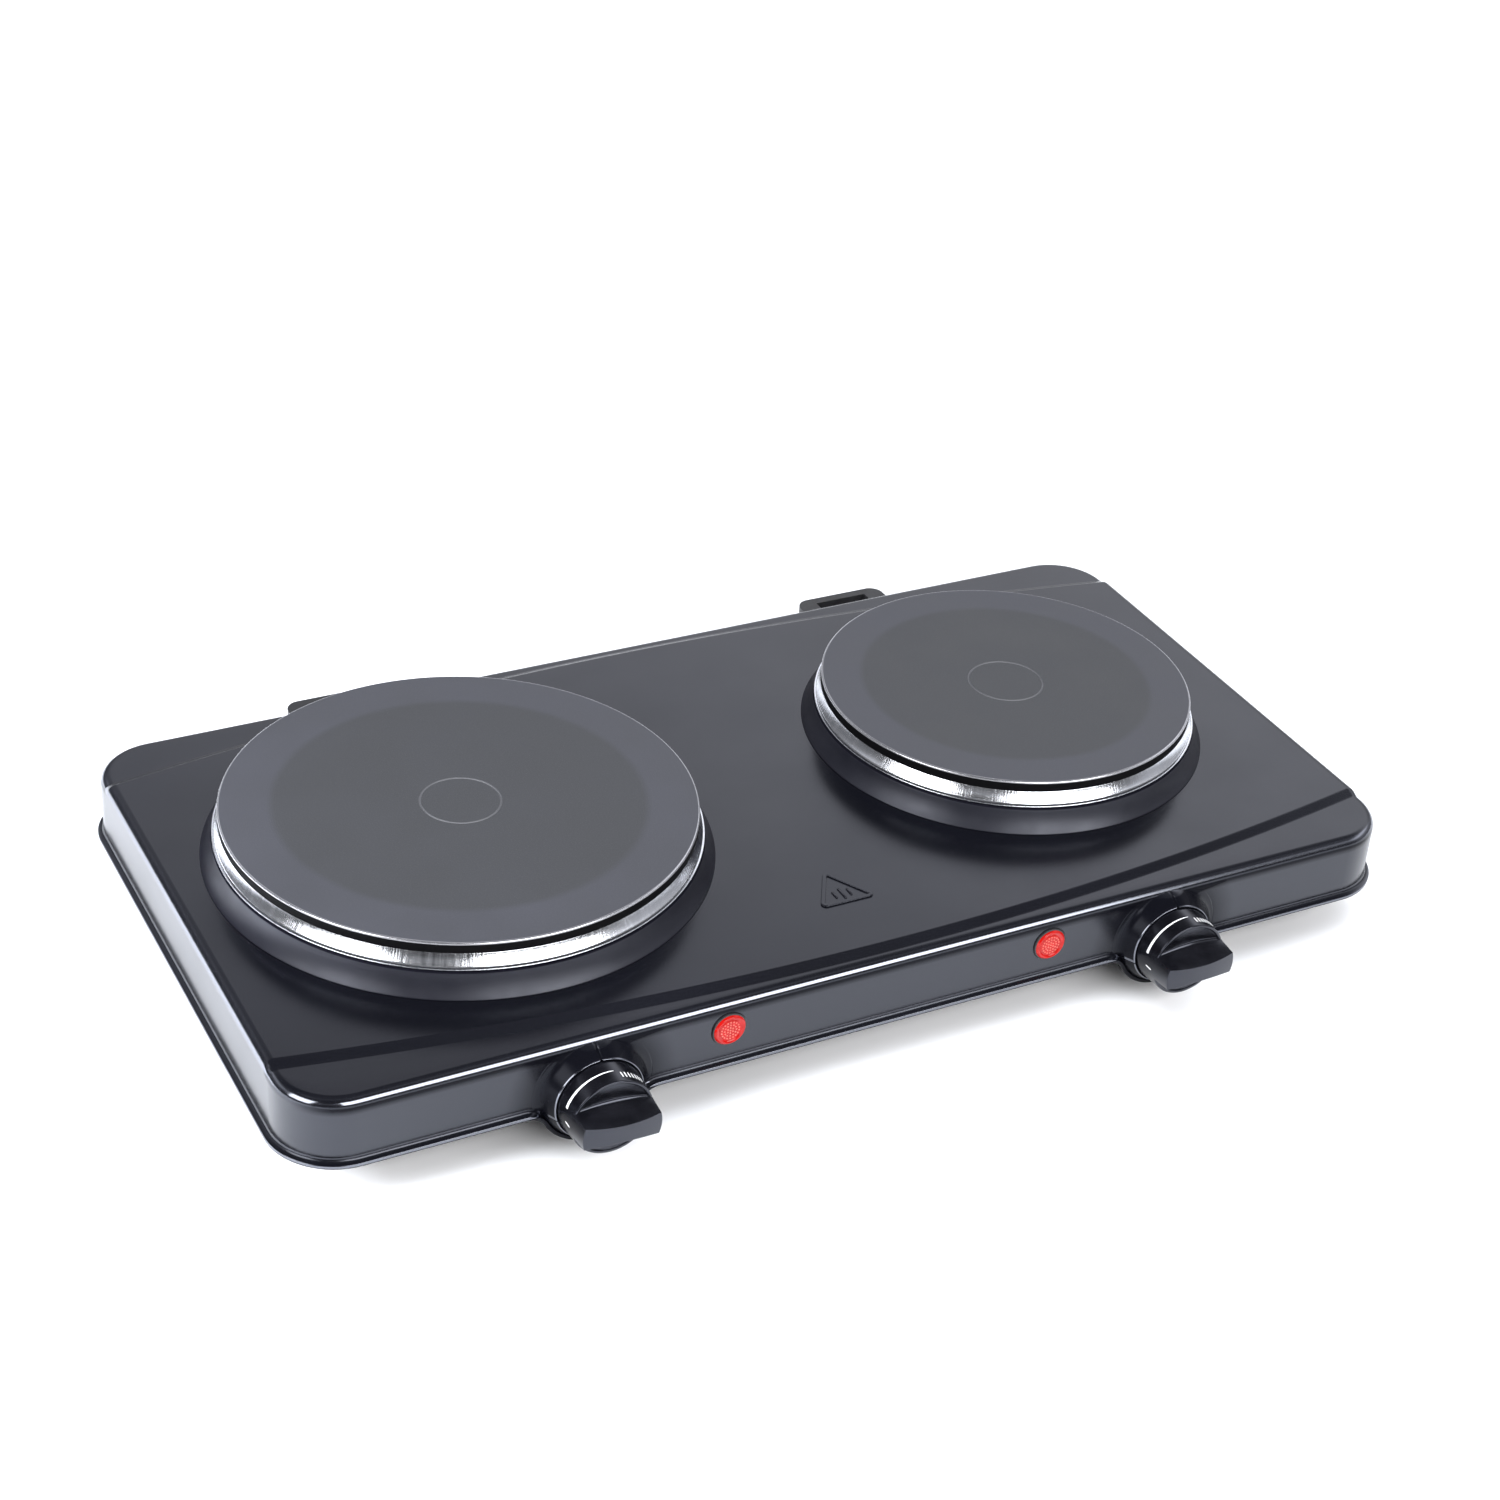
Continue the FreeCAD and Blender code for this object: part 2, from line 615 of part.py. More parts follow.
def burner(side):
    x = ("-" if side == "left" else "") + "burner_spacing / 2"
    y = BURNER_Y
    r = f"{side}_radius"
    top = "lift + plate_top"
    skirt_bottom = f"{top} - plate_skirt"
    plate = turned(
        f"{side}_plate",
        [
            (0, top), ("ring_radius - 0.35", top), ("ring_radius", f"{top} - 0.45"),
            ("ring_radius + 0.35", top), (f"{r} - 0.9", top), (r, f"{top} - 0.9"),
            (r, f"{top} - plate_rim"), (f"{r} - 4", f"{top} - plate_rim - 0.4"),
            (f"{r} - 4.6", skirt_bottom), (f"{r} - 12", skirt_bottom), (f"{r} - 12", f"{top} - 7"),
            (11, f"{top} - 7"), (11, skirt_bottom), (0, skirt_bottom),
        ],
        x, y, arcs={4: "-0.9"},
    )
    node(plate, f"{side}_plate")

    coils = [f"{r} - 18", f"{r} - 30", f"{r} - 42"][: 3 if side == "left" else 2]
    rings = [
        ring(f"{side}_coil{number}", radius, 3.0, x, y, f"{top} - 10.1")
        for number, radius in enumerate(coils, start=1)
    ]
    link = box(
        f"{side}_coil_link", f"{coils[0]} - ({coils[-1]})", 5, 4,
        f"{x} + {coils[-1]}", f"{y} - 2.5", f"{top} - 12.3",
    )
    pins = [
        rod(f"{side}_coil_pin{number}", 1.6, 6.7, f"{x} {sign} 7", f"{y} + {r} - 42 + 2", f"{top} - 17")
        for number, sign in enumerate(("-", "+"), start=1)
    ]
    feed = block(f"{side}_coil_feed", 18, 18, 3.4, x, f"{y} + {r} - 42 + 2", f"{top} - 12")
    node(fuse(f"{side}_element_whole", *rings, link, feed, *pins), f"{side}_heating_element")

    shield_z = f"{skirt_bottom} - 1.4"
    shield = cut(
        f"{side}_shield_cut",
        rod(f"{side}_shield_disc", f"{r} - 6", 0.8, x, y, shield_z),
        rod(f"{side}_shield_hole", 3.3, 4, x, y, f"{shield_z} - 1"),
        *[
            rod(
                f"{side}_shield_pin{number}", 2.2, 4,
                f"{x} {sign} 7", f"{y} + {r} - 42 + 2", f"{shield_z} - 1",
            )
            for number, sign in enumerate(("-", "+"), start=1)
        ],
    )
    node(shield, f"{side}_heat_shield")

    insulator = cut(
        f"{side}_insulator_cut",
        block(f"{side}_insulator_block", 26, 13, 9, x, f"{y} + {r} - 42 + 2", f"{shield_z} - 9"),
        *[
            rod(
                f"{side}_insulator_hole{number}", 1.7, 12,
                f"{x} {sign} 7", f"{y} + {r} - 42 + 2", f"{shield_z} - 10",
            )
            for number, sign in enumerate(("-", "+"), start=1)
        ],
    )
    node(insulator, f"{side}_plate_insulator")

    t = "trim_sheet"
    trim_top, trim_bottom = "lift + trim_top", "lift + trim_bottom"
    trim = turned(
        f"{side}_trim_ring",
        [
            (f"{r} - 3.8", trim_top), (f"{r} - 1.2", trim_top),
            (f"{r} + trim_flare - 0.4", f"{trim_bottom} + 0.9"),
            (f"{r} + trim_flare + 0.4", f"{trim_bottom} + 0.6"), (f"{r} + trim_flare + 0.4", trim_bottom),
            (f"{r} + trim_flare - 0.8 - {t}", trim_bottom), (f"{r} - 1.7 - {t}", f"{trim_top} - {t}"),
            (f"{r} - 3.8", f"{trim_top} - {t}"),
        ],
        x, y, arcs={1: "14", 5: "-14"},
    )
    node(trim, f"{side}_trim_ring")

    collar_top = trim_bottom
    collar = turned(
        f"{side}_collar",
        [
            (f"{r} - 4.2", collar_top), (f"{r} + trim_flare + 0.4", collar_top),
            (f"{r} + collar_flare", f"{PANEL} + 0.6"), (f"{r} + collar_flare", PANEL),
            (f"{r} + collar_flare - steel", PANEL), (f"{r} + trim_flare - 0.9", f"{collar_top} - steel"),
            (f"{r} - 4.2", f"{collar_top} - steel"),
        ],
        x, y, arcs={1: "30"},
    )
    node(collar, f"{side}_collar")

    under = f"{PANEL} - steel"
    half_bridge = f"{r} - opening_margin + 12"
    bridge = cut(
        f"{side}_bridge_cut",
        block(
            f"{side}_bridge_strap", f"2 * ({half_bridge})", "bridge_width", "bridge_sheet",
            x, y, f"{under} - bridge_sheet",
        ),
        rod(f"{side}_bridge_hole", 3.3, 6, x, y, f"{under} - 4"),
    )
    node(bridge, f"{side}_mounting_bridge")

    spacer = cut(
        f"{side}_spacer_cut",
        rod(f"{side}_spacer_rod", 6, f"{shield_z} - ({under})", x, y, under),
        rod(f"{side}_spacer_hole", 3.2, 20, x, y, f"{under} - 1"),
    )
    node(spacer, f"{side}_spacer")
    stud = rod(f"{side}_stud_rod", "stud_radius", f"{skirt_bottom} - ({under}) + 12", x, y, f"{under} - 12")
    node(stud, f"{side}_stud")


def bridge_fasteners():
    """A washer and a nut on each stud, under the bridge."""
    washers, nuts = [], []
    for side in ("left", "right"):
        x = ("-" if side == "left" else "") + "burner_spacing / 2"
        under = f"{PANEL} - steel - bridge_sheet"
        washers.append(
            cut(
                f"{side}_washer",
                rod(f"{side}_washer_disc", 7, 1.2, x, BURNER_Y, f"{under} - 1.2"),
                rod(f"{side}_washer_hole", 3.2, 4, x, BURNER_Y, f"{under} - 2"),
            )
        )
        nuts.append(
            cut(
                f"{side}_nut",
                prism(f"{side}_nut_hex", 6, 5.8, 5, x, BURNER_Y, f"{under} - 6.2"),
                rod(f"{side}_nut_hole", 3.05, 8, x, BURNER_Y, f"{under} - 7"),
            )
        )
    node(group("washer_set", *washers), "bridge_washers")
    node(group("nut_set", *nuts), "bridge_nuts")


# ---- controls: knob, shaft and thermostat ----


def grip_loft(side):
    """The grip between its broad root and its waisted front, before its ends are trimmed."""
    sections = []
    body = new_body(f"{side}_grip")
    levels = (("root", "knob_face - 3", "grip_root"), ("front", "grip_end + 2", "grip_waist"))
    for name, start, middle in levels:
        sketch = new_sketch(body, f"{side}_grip_{name}", "XZ_Plane", z=start)
        tip, bulge = value("grip_tip"), value(middle)
        half = value("knob_back_radius") + 1
        left_low, right_low = FreeCAD.Vector(-half, -tip, 0), FreeCAD.Vector(half, -tip, 0)
        left_high, right_high = FreeCAD.Vector(-half, tip, 0), FreeCAD.Vector(half, tip, 0)
        sketch.addGeometry(Part.Arc(left_low, FreeCAD.Vector(0, -bulge, 0), right_low))
        sketch.addGeometry(Part.LineSegment(right_low, right_high))
        sketch.addGeometry(Part.Arc(right_high, FreeCAD.Vector(0, bulge, 0), left_high))
        sketch.addGeometry(Part.LineSegment(left_high, left_low))
        for index in (1, 3):
            sketch.addConstraint(Sketcher.Constraint("Vertical", index))
        sketch.addConstraint(Sketcher.Constraint("Symmetric", 1, 1, 3, 1, -1, 1))
        hold(sketch, "DistanceX", 3, 1, 1, 2, size="2 * (knob_back_radius + 1)")
        hold(sketch, "DistanceY", 1, 1, 1, 2, size="2 * grip_tip")
        sections.append(sketch)
    loft = body.newObject("PartDesign::AdditiveLoft", f"{side}_grip_loft")
    loft.Profile = sections[0]
    loft.Sections = [sections[1]]
    loft.Ruled = True
    doc.recompute()
    return body


def knob(side, x):
    """The knob about its own axis, facing -Y with the wall's plane at y = 0, then put in its place."""
    forward = FreeCAD.Rotation(X_AXIS, 90)
    back = "boss_reach - boss_recess + knob_gap"
    skirt = cone(
        f"{side}_knob_skirt", "knob_back_radius", "knob_front_radius", f"knob_face - ({back})",
        0, f"-({back})", 0, forward,
    )
    envelope = cone(
        f"{side}_grip_envelope",
        "knob_front_radius", "knob_front_radius - 0.7", "grip_end + 3 - knob_face + 4",
        0, "4 - knob_face", 0, forward,
    )
    half = "(knob_front_radius - 1.2)"
    crown_radius = f"({half}^2 + grip_crown^2) / (2 * grip_crown)"
    crown = rod(
        f"{side}_grip_crown", crown_radius, 60, 0, f"{crown_radius} - grip_end - grip_crown", -30,
    )
    grip = common(f"{side}_grip_trimmed", grip_loft(side), envelope, crown)
    outer = fuse(f"{side}_knob_outer", skirt, grip)
    face, tip = value("knob_face"), value("grip_end")
    soft = rounded(
        f"{side}_knob_rounded", outer, 0.5,
        lambda edge: edge.BoundBox.YMax < 0.1 - face
        and (edge.isClosed() or edge.Length > 20 and edge.BoundBox.YMin < -tip),
    )
    cavity = rod(f"{side}_knob_cavity", "knob_front_radius - 1.8", 9.5, 0, "-15", 0, TO_BACK)
    hub = rod(f"{side}_knob_hub", 6, 11, 0, -16, 0, TO_BACK)
    bore = rod(f"{side}_knob_bore", "shaft_radius + 0.02", 12, 0, -15.5, 0, TO_BACK)
    opened = cut(f"{side}_cavity_ring", cavity, hub)
    whole = cut(f"{side}_knob_whole", soft, opened, bore)
    place(whole, x, FRONT, KNOB_AXIS, FreeCAD.Rotation(Y_AXIS, value(f"{side}_turn")))
    node(whole, f"{side}_knob")


def shaft(side, x):
    """The thermostat's spindle with the flat that turns the knob, and the spring band on the knob's hub."""
    round_bar = rod(f"{side}_spindle", "shaft_radius", 35.2, x, f"{FRONT} - 15.2", KNOB_AXIS, TO_BACK)
    flat = box(
        f"{side}_spindle_flat", 8, 9, 3,
        f"({x}) - 4", f"{FRONT} - 16", f"{KNOB_AXIS} + shaft_radius - 0.8",
    )
    node(cut(f"{side}_spindle_cut", round_bar, flat), f"{side}_thermostat_shaft")
    band = cut(
        f"{side}_band_cut",
        rod(f"{side}_band_outer", 6.7, 5, x, f"{FRONT} - 12.5", KNOB_AXIS, TO_BACK),
        rod(f"{side}_band_inner", 6, 7, x, f"{FRONT} - 13.5", KNOB_AXIS, TO_BACK),
        box(f"{side}_band_gap", 2, 7, 10, f"({x}) - 1", f"{FRONT} - 13.5", f"{KNOB_AXIS} - 10"),
    )
    node(band, f"{side}_knob_spring")


def thermostat(side, x):
    base = f"{FRONT} + 4.5"
    clear = "shaft_radius + shaft_clearance"
    bush_start = f"{FRONT} - boss_reach + boss_recess + 0.4"
    ceramic = block(f"{side}_thermostat_block", 30, 20, 20, x, f"{base} + 10", f"{KNOB_AXIS} - 10")
    bush = rod(
        f"{side}_thermostat_bush", 4.6, f"{base} + 1 - ({bush_start})",
        x, bush_start, KNOB_AXIS, TO_BACK,
    )
    corners = (("- 9", "+ 5.6"), ("+ 9", "+ 5.6"), ("- 9", "- 6.4"), ("+ 9", "- 6.4"))
    blades = [
        block(f"{side}_blade{number}", 6.3, 8, 0.8, f"({x}) {shift}", f"{base} + 23", f"{KNOB_AXIS} {rise}")
        for number, (shift, rise) in enumerate(corners, start=1)
    ]
    bore = rod(f"{side}_thermostat_bore", clear, 40.1, x, f"{FRONT} - 20", KNOB_AXIS, TO_BACK)
    whole = fuse(f"{side}_thermostat_whole", ceramic, bush, *blades)
    node(cut(f"{side}_thermostat_cut", whole, bore), f"{side}_thermostat")

    plate_y = f"{FRONT} - boss_reach + boss_recess + steel"
    plate = box(f"{side}_carrier_plate", 30, 1.2, 9, f"({x}) - 15", plate_y, f"{KNOB_AXIS} - 4.5")
    legs = [
        box(
            f"{side}_carrier_leg{number}", 1.2, f"{base} - ({plate_y})", 9,
            f"({x}) {shift}", plate_y, f"{KNOB_AXIS} - 4.5",
        )
        for number, shift in enumerate(("- 15", "+ 13.8"), start=1)
    ]
    holes = [
        rod(
            f"{side}_carrier_hole{number}", 1.55, 6,
            f"({x}) {sign} screw_offset", f"{plate_y} - 2", KNOB_AXIS, TO_BACK,
        )
        for number, sign in enumerate(("-", "+"), start=1)
    ]
    bush_hole = rod(f"{side}_carrier_bush_hole", 4.8, 6, x, f"{plate_y} - 2", KNOB_AXIS, TO_BACK)
    node(cut(f"{side}_carrier_cut", fuse(f"{side}_carrier_whole", plate, *legs), bush_hole, *holes),
         f"{side}_thermostat_bracket")


def thermostat_screws():
    """Two countersunk screws behind each knob, flush with the boss's floor."""
    screws = []
    for side, x in (("left", "-knob_spacing / 2"), ("right", "knob_spacing / 2")):
        for number, sign in enumerate(("-", "+"), start=1):
            place_x = f"({x}) {sign} screw_offset"
            start = f"{FRONT} - boss_reach + boss_recess"
            head = cone(f"{side}_sunk_head{number}", 2.6, 1.5, "steel", place_x, start, KNOB_AXIS, TO_BACK)
            shank = rod(
                f"{side}_sunk_shank{number}", 1.5, 6, place_x, f"{start} + steel / 2", KNOB_AXIS, TO_BACK,
            )
            screws.append(fuse(f"{side}_sunk_screw{number}", head, shank))
    node(group("sunk_screw_set", *screws), "thermostat_screws")


def lamp(side, x):
    """A push-in indicator: a red lens cap outside, a holder inside, and the clip that keeps it."""
    z = "lift + lamp_height"
    forward = FreeCAD.Rotation(X_AXIS, 90)
    cap = cone(f"{side}_lens_cap", "lamp_radius", "lamp_radius - 0.9", 1.7, x, FRONT, z, forward)
    stem = rod(f"{side}_lens_stem", "lamp_hole - 0.15", 5, x, FRONT, z, TO_BACK)
    dish = cone(f"{side}_lens_dish", 3.6, 4.6, 0.5, x, f"{FRONT} - 1.2", z, forward)
    hollow = rod(f"{side}_lens_hollow", 3.6, 6, x, f"{FRONT} + 0.5", z, TO_BACK)
    node(cut(f"{side}_lens_cut", fuse(f"{side}_lens_whole", cap, stem), dish, hollow), f"{side}_lamp_lens")
    holder = rod(f"{side}_lamp_holder_rod", 5, 14, x, f"{FRONT} + 5", z, TO_BACK)
    pins = [
        rod(f"{side}_lamp_pin{number}", 0.8, 7, f"{x} {sign} 2.5", f"{FRONT} + 18", z, TO_BACK)
        for number, sign in enumerate(("-", "+"), start=1)
    ]
    bulb = rod(f"{side}_lamp_bulb", 2.6, 4, x, f"{FRONT} + 1.2", z, TO_BACK)
    node(fuse(f"{side}_lamp_holder_whole", holder, bulb, *pins), f"{side}_lamp_holder")
    clip = cut(
        f"{side}_lamp_clip_cut",
        rod(f"{side}_lamp_clip_disc", 8.2, 0.8, x, f"{FRONT} + steel", z, TO_BACK),
        rod(f"{side}_lamp_clip_hole", "lamp_hole - 0.1", 4, x, FRONT, z, TO_BACK),
    )
    node(clip, f"{side}_lamp_clip")


# ---- underside ----


def cover_screw_places():
    """Where the bottom cover is screwed to the housing's lip."""
    x_out, y_out = "body_length / 2 - steel - 4.5", "body_depth / 2 - steel - 4.5"
    places = []
    for x_sign in ("-", ""):
        places.append((f"{x_sign}({x_out})", f"{SHIFT} + 45"))
        places.append((f"{x_sign}({x_out})", f"{SHIFT} - 45"))
        places.append((f"{x_sign}75", f"{SHIFT} + {y_out}"))
        places.append((f"{x_sign}30", f"{SHIFT} - ({y_out})"))
    return places


def foot_places():
    for front, y in (("front", f"{SHIFT} - foot_y"), ("rear", f"{SHIFT} + foot_y")):
        for side, x in (("left", "-foot_x"), ("right", "foot_x")):
            yield f"{front}_{side}", x, y


def bottom_cover():
    """The pressed base: a flange that fits inside the hem, and a pan with room for the thermostats."""
    body = new_body("cover")
    gap = "2 * (steel + 0.3)"
    flange = new_sketch(body, "cover_flange", "XY_Plane", y=SHIFT, z="lift + lip_height - cover_sheet")
    add_rounded_rectangle(
        flange, f"body_length - {gap}", f"body_depth - {gap}", "corner_radius - steel - 0.3",
    )
    pad(body, flange, "cover_sheet")
    outer = new_sketch(body, "pan_outside", "XY_Plane", y=SHIFT, z="lift - pan_drop")
    add_rounded_rectangle(outer, "pan_length", "pan_depth", 20)
    pad(body, outer, "pan_drop + lip_height")
    doc.recompute()
    low = value("lift - pan_drop")
    dress(body, "Fillet", "pan_round", 3, lambda edge: edge_at(edge, z=low))
    front_edge = f"{FRONT} + steel + 0.3"
    bays, hollows = [], []
    for side, x in (("left", "-knob_spacing / 2"), ("right", "knob_spacing / 2")):
        length = "(body_depth - pan_depth) / 2 + 10"
        bays.append(
            box(
                f"{side}_bay", "bay_width", f"{length} - steel - 0.3", "bay_drop + lip_height",
                f"({x}) - bay_width / 2", front_edge, "lift - bay_drop",
            )
        )
        hollows.append(
            box(
                f"{side}_bay_hollow",
                "bay_width - 2 * cover_sheet", f"{length} + 4", "bay_drop + lip_height + 2",
                f"({x}) - bay_width / 2 + cover_sheet", f"{front_edge} + cover_sheet",
                "lift - bay_drop + cover_sheet",
            )
        )
        hollows.append(
            box(
                f"{side}_bay_notch", "bay_width - 2 * cover_sheet", 3, 3,
                f"({x}) - bay_width / 2 + cover_sheet", f"{front_edge} - 1", "lift + 0.4",
            )
        )
    inside = new_body("pan_inside")
    inner = new_sketch(inside, "pan_inner", "XY_Plane", y=SHIFT, z=PAN_FLOOR)
    add_rounded_rectangle(
        inner, "pan_length - 2 * cover_sheet", "pan_depth - 2 * cover_sheet", "20 - cover_sheet",
    )
    pad(inside, inner, "pan_drop + lip_height + 2")
    low = value(PAN_FLOOR)
    dress(inside, "Fillet", "pan_inner_round", 2.2, lambda edge: edge_at(edge, z=low))
    tools = [inside, *hollows]
    for row, y in enumerate((-58, 58), start=1):
        for column in range(-4, 5):
            tools.append(
                block(
                    f"vent{row}_{column + 5}", 24, 5, 4, column * 34, f"{SHIFT} + {y}", f"{PAN_FLOOR} - 3",
                )
            )
    for name, x, y in foot_places():
        tools.append(rod(f"{name}_cover_hole", 2.1, 6, x, y, f"{PAN_FLOOR} - 3"))
    for number, (x, y) in enumerate(cover_screw_places(), start=1):
        tools.append(rod(f"flange_hole{number}", 1.8, 4, x, y, "lift - 1"))
    whole = fuse("cover_whole", body, *bays)
    node(cut("cover_cut", whole, *tools), "bottom_cover")


def feet():
    """Four rubber feet, each held by a screw into a nut inside the pan."""
    screws = []
    height = "lift - pan_drop"
    for name, x, y in foot_places():
        foot = cut(
            f"{name}_foot_cut",
            cone(f"{name}_foot_cone", "foot_radius - 1.5", "foot_radius", height, x, y, 0),
            rod(f"{name}_foot_recess", 4.6, 2.6, x, y, -0.1),
            rod(f"{name}_foot_hole", 2.1, f"{height} + 2", x, y, -1),
        )
        node(foot, f"{name}_foot")
        screws.append(
            fuse(
                f"{name}_foot_screw",
                rod(f"{name}_foot_head", 3.6, 1.8, x, y, 0.6),
                rod(f"{name}_foot_shank", 2.0, f"{height} + 4.4", x, y, 0.7),
                cut(
                    f"{name}_foot_nut_cut",
                    prism(f"{name}_foot_nut", 6, 4, 2.4, x, y, PAN_FLOOR),
                    rod(f"{name}_foot_nut_hole", 1.9, 5, x, y, f"{PAN_FLOOR} - 1"),
                ),
            )
        )
    node(group("foot_screw_set", *screws), "foot_screws")


def cover_screws():
    screws = []
    for number, (x, y) in enumerate(cover_screw_places(), start=1):
        head = cone(f"cover_head{number}", 2.4, 3.0, 1.4, x, y, "lift + lip_height - cover_sheet - 1.4")
        shank = rod(f"cover_shank{number}", 1.5, 6, x, y, "lift + lip_height - cover_sheet - 0.5")
        screws.append(fuse(f"cover_screw{number}", head, shank))
    node(group("cover_screw_set", *screws), "cover_screws")


# ---- rear: cord brackets, bushing and the mains connection ----


def cord_bracket(side, x):
    """A flat moulded loop standing out of the rear wall, on a back plate."""
    reach = "bracket_reach"
    z = "lift + bracket_top - bracket_thick"
    low_x = f"({x}) - bracket_width / 2"
    outer = box(f"{side}_loop", "bracket_width", reach, "bracket_thick", low_x, BACK, z)
    corner = value(BACK) + value(reach)
    soft = rounded(
        f"{side}_loop_round", outer, 6,
        lambda edge: edge.BoundBox.ZLength > 2 and abs(edge.BoundBox.YMax - corner) < 0.01,
    )
    flange = box(f"{side}_loop_flange", "bracket_width", 2.5, 9, low_x, BACK, "lift + bracket_top - 9")
    slot = box(
        f"{side}_loop_slot", "bracket_width - 18", f"{reach} - bracket_bar - 2.5", 12,
        f"{low_x} + 9", f"{BACK} + 2.5", f"{z} - 3",
    )
    holes = [
        rod(
            f"{side}_loop_hole{number}", 1.7, 6,
            f"({x}) {sign} 17", f"{BACK} - 1", "lift + bracket_top - 2.5", TO_BACK,
        )
        for number, sign in enumerate(("-", "+"), start=1)
    ]
    whole = fuse(f"{side}_loop_whole", soft, flange)
    node(cut(f"{side}_loop_cut", whole, slot, *holes), f"{side}_cord_bracket")


def bracket_screws():
    """From inside the rear wall into the brackets' arms."""
    screws = []
    for side, x in (("left", "-burner_spacing / 2"), ("right", "burner_spacing / 2")):
        for number, sign in enumerate(("-", "+"), start=1):
            place_x, z = f"{x} {sign} 17", "lift + bracket_top - 2.5"
            name = f"{side}_bracket"
            head = rod(f"{name}_head{number}", 2.8, 1.8, place_x, f"{BACK} - steel - 1.8", z, TO_BACK)
            shank = rod(f"{name}_shank{number}", 1.5, 6.4, place_x, f"{BACK} - steel - 0.9", z, TO_BACK)
            screws.append(fuse(f"{side}_bracket_screw{number}", head, shank))
    node(group("bracket_screw_set", *screws), "bracket_screws")


def cord_inlet():
    """The bushing that the mains cord would pass through, and the clamp that would grip it inside."""
    z = "lift + bushing_height"
    outside = cone("bushing_outside", 8.0, 6.8, 4, 0, BACK, z, TO_BACK)
    inside = rod("bushing_inside", 5.9, 6, 0, f"{BACK} - 6", z, TO_BACK)
    barb = cone("bushing_barb", 5.9, 6.9, 2.5, 0, f"{BACK} - steel - 3", z, TO_BACK)
    bore = rod("bushing_bore", "cord_bore", 14, 0, f"{BACK} - 8", z, TO_BACK)
    node(cut("bushing_cut", fuse("bushing_whole", outside, inside, barb), bore), "cord_bushing")

    clamp_y = "90"
    base = block("clamp_base", 30, 12, 3, 0, clamp_y, PAN_FLOOR)
    saddle = block("clamp_saddle", 30, 12, 3, 0, clamp_y, f"{PAN_FLOOR} + 9")
    posts = [
        block(f"clamp_post{number}", 6, 12, 12, x, clamp_y, PAN_FLOOR)
        for number, x in enumerate((-12, 12), start=1)
    ]
    holes = [
        rod(f"clamp_hole{number}", 1.7, 9.5, x, clamp_y, f"{PAN_FLOOR} + 3")
        for number, x in enumerate((-12, 12), start=1)
    ]
    node(cut("clamp_cut", fuse("clamp_whole", base, saddle, *posts), *holes), "cord_clamp")
    screws = [
        fuse(
            f"clamp_screw{number}",
            rod(f"clamp_head{number}", 2.8, 1.8, x, clamp_y, f"{PAN_FLOOR} + 12"),
            rod(f"clamp_shank{number}", 1.6, 8.5, x, clamp_y, f"{PAN_FLOOR} + 4"),
        )
        for number, x in enumerate((-12, 12), start=1)
    ]
    node(group("clamp_screw_set", *screws), "cord_clamp_screws")


def mains_terminals():
    y = "58"
    base = block("terminal_base", 44, 18, 16, 0, y, PAN_FLOOR)
    ways = [
        rod(f"terminal_way{number}", 2.4, 30, x, f"{y} - 15", f"{PAN_FLOOR} + 6", TO_BACK)
        for number, x in enumerate((-14, 0, 14), start=1)
    ]
    wells = [
        rod(f"terminal_well{number}", 2.6, 8, x, y, f"{PAN_FLOOR} + 9")
        for number, x in enumerate((-14, 0, 14), start=1)
    ]
    node(cut("terminal_cut", base, *ways, *wells), "mains_terminal_block")
    screws = [
        rod(f"terminal_screw{number}", 2.2, 5, x, y, f"{PAN_FLOOR} + 9")
        for number, x in enumerate((-14, 0, 14), start=1)
    ]
    node(group("terminal_screw_set", *screws), "terminal_screws")

    z = "lift + bushing_height"
    head = rod("earth_head", 4, 2.4, 60, BACK, z, TO_BACK)
    shank = rod("earth_shank", 2, 12, 60, f"{BACK} - 11.5", z, TO_BACK)
    nut = prism("earth_nut", 6, 4, 3.2, 60, f"{BACK} - steel - 5", z, TO_BACK)
    node(fuse("earth_whole", head, shank, nut), "earth_screw")


# ---- wiring ----


def tube(name, points, radius):
    """A wire along straight runs joined by tangent arcs, as one solid."""
    points = [FreeCAD.Vector(*point) for point in points]
    edges, start = [], points[0]
    for before, corner, after in zip(points, points[1:], points[2:]):
        into, out = (corner - before), (after - corner)
        half_turn = into.getAngle(out) / 2
        setback = 0.45 * min(into.Length, out.Length)
        into.normalize()
        out.normalize()
        first, last = corner - into * setback, corner + out * setback
        inward = (out - into).normalize()
        bend = setback / math.tan(half_turn)
        middle = corner + inward * (bend / math.cos(half_turn) - bend)
        edges.append(Part.LineSegment(start, first).toShape())
        edges.append(Part.Arc(first, middle, last).toShape())
        start = last
    edges.append(Part.LineSegment(start, points[-1]).toShape())
    path = Part.Wire(edges)
    section = Part.Wire([Part.Circle(points[0], points[1] - points[0], radius).toShape()])
    shape = path.makePipeShell([section], True, True)
    expected = math.pi * radius ** 2 * path.Length
    if abs(shape.Volume - expected) > 0.02 * expected:
        raise ValueError(f"{name} has the wrong volume")
    feature = doc.addObject("Part::Feature", name)
    feature.Shape = shape
    return feature


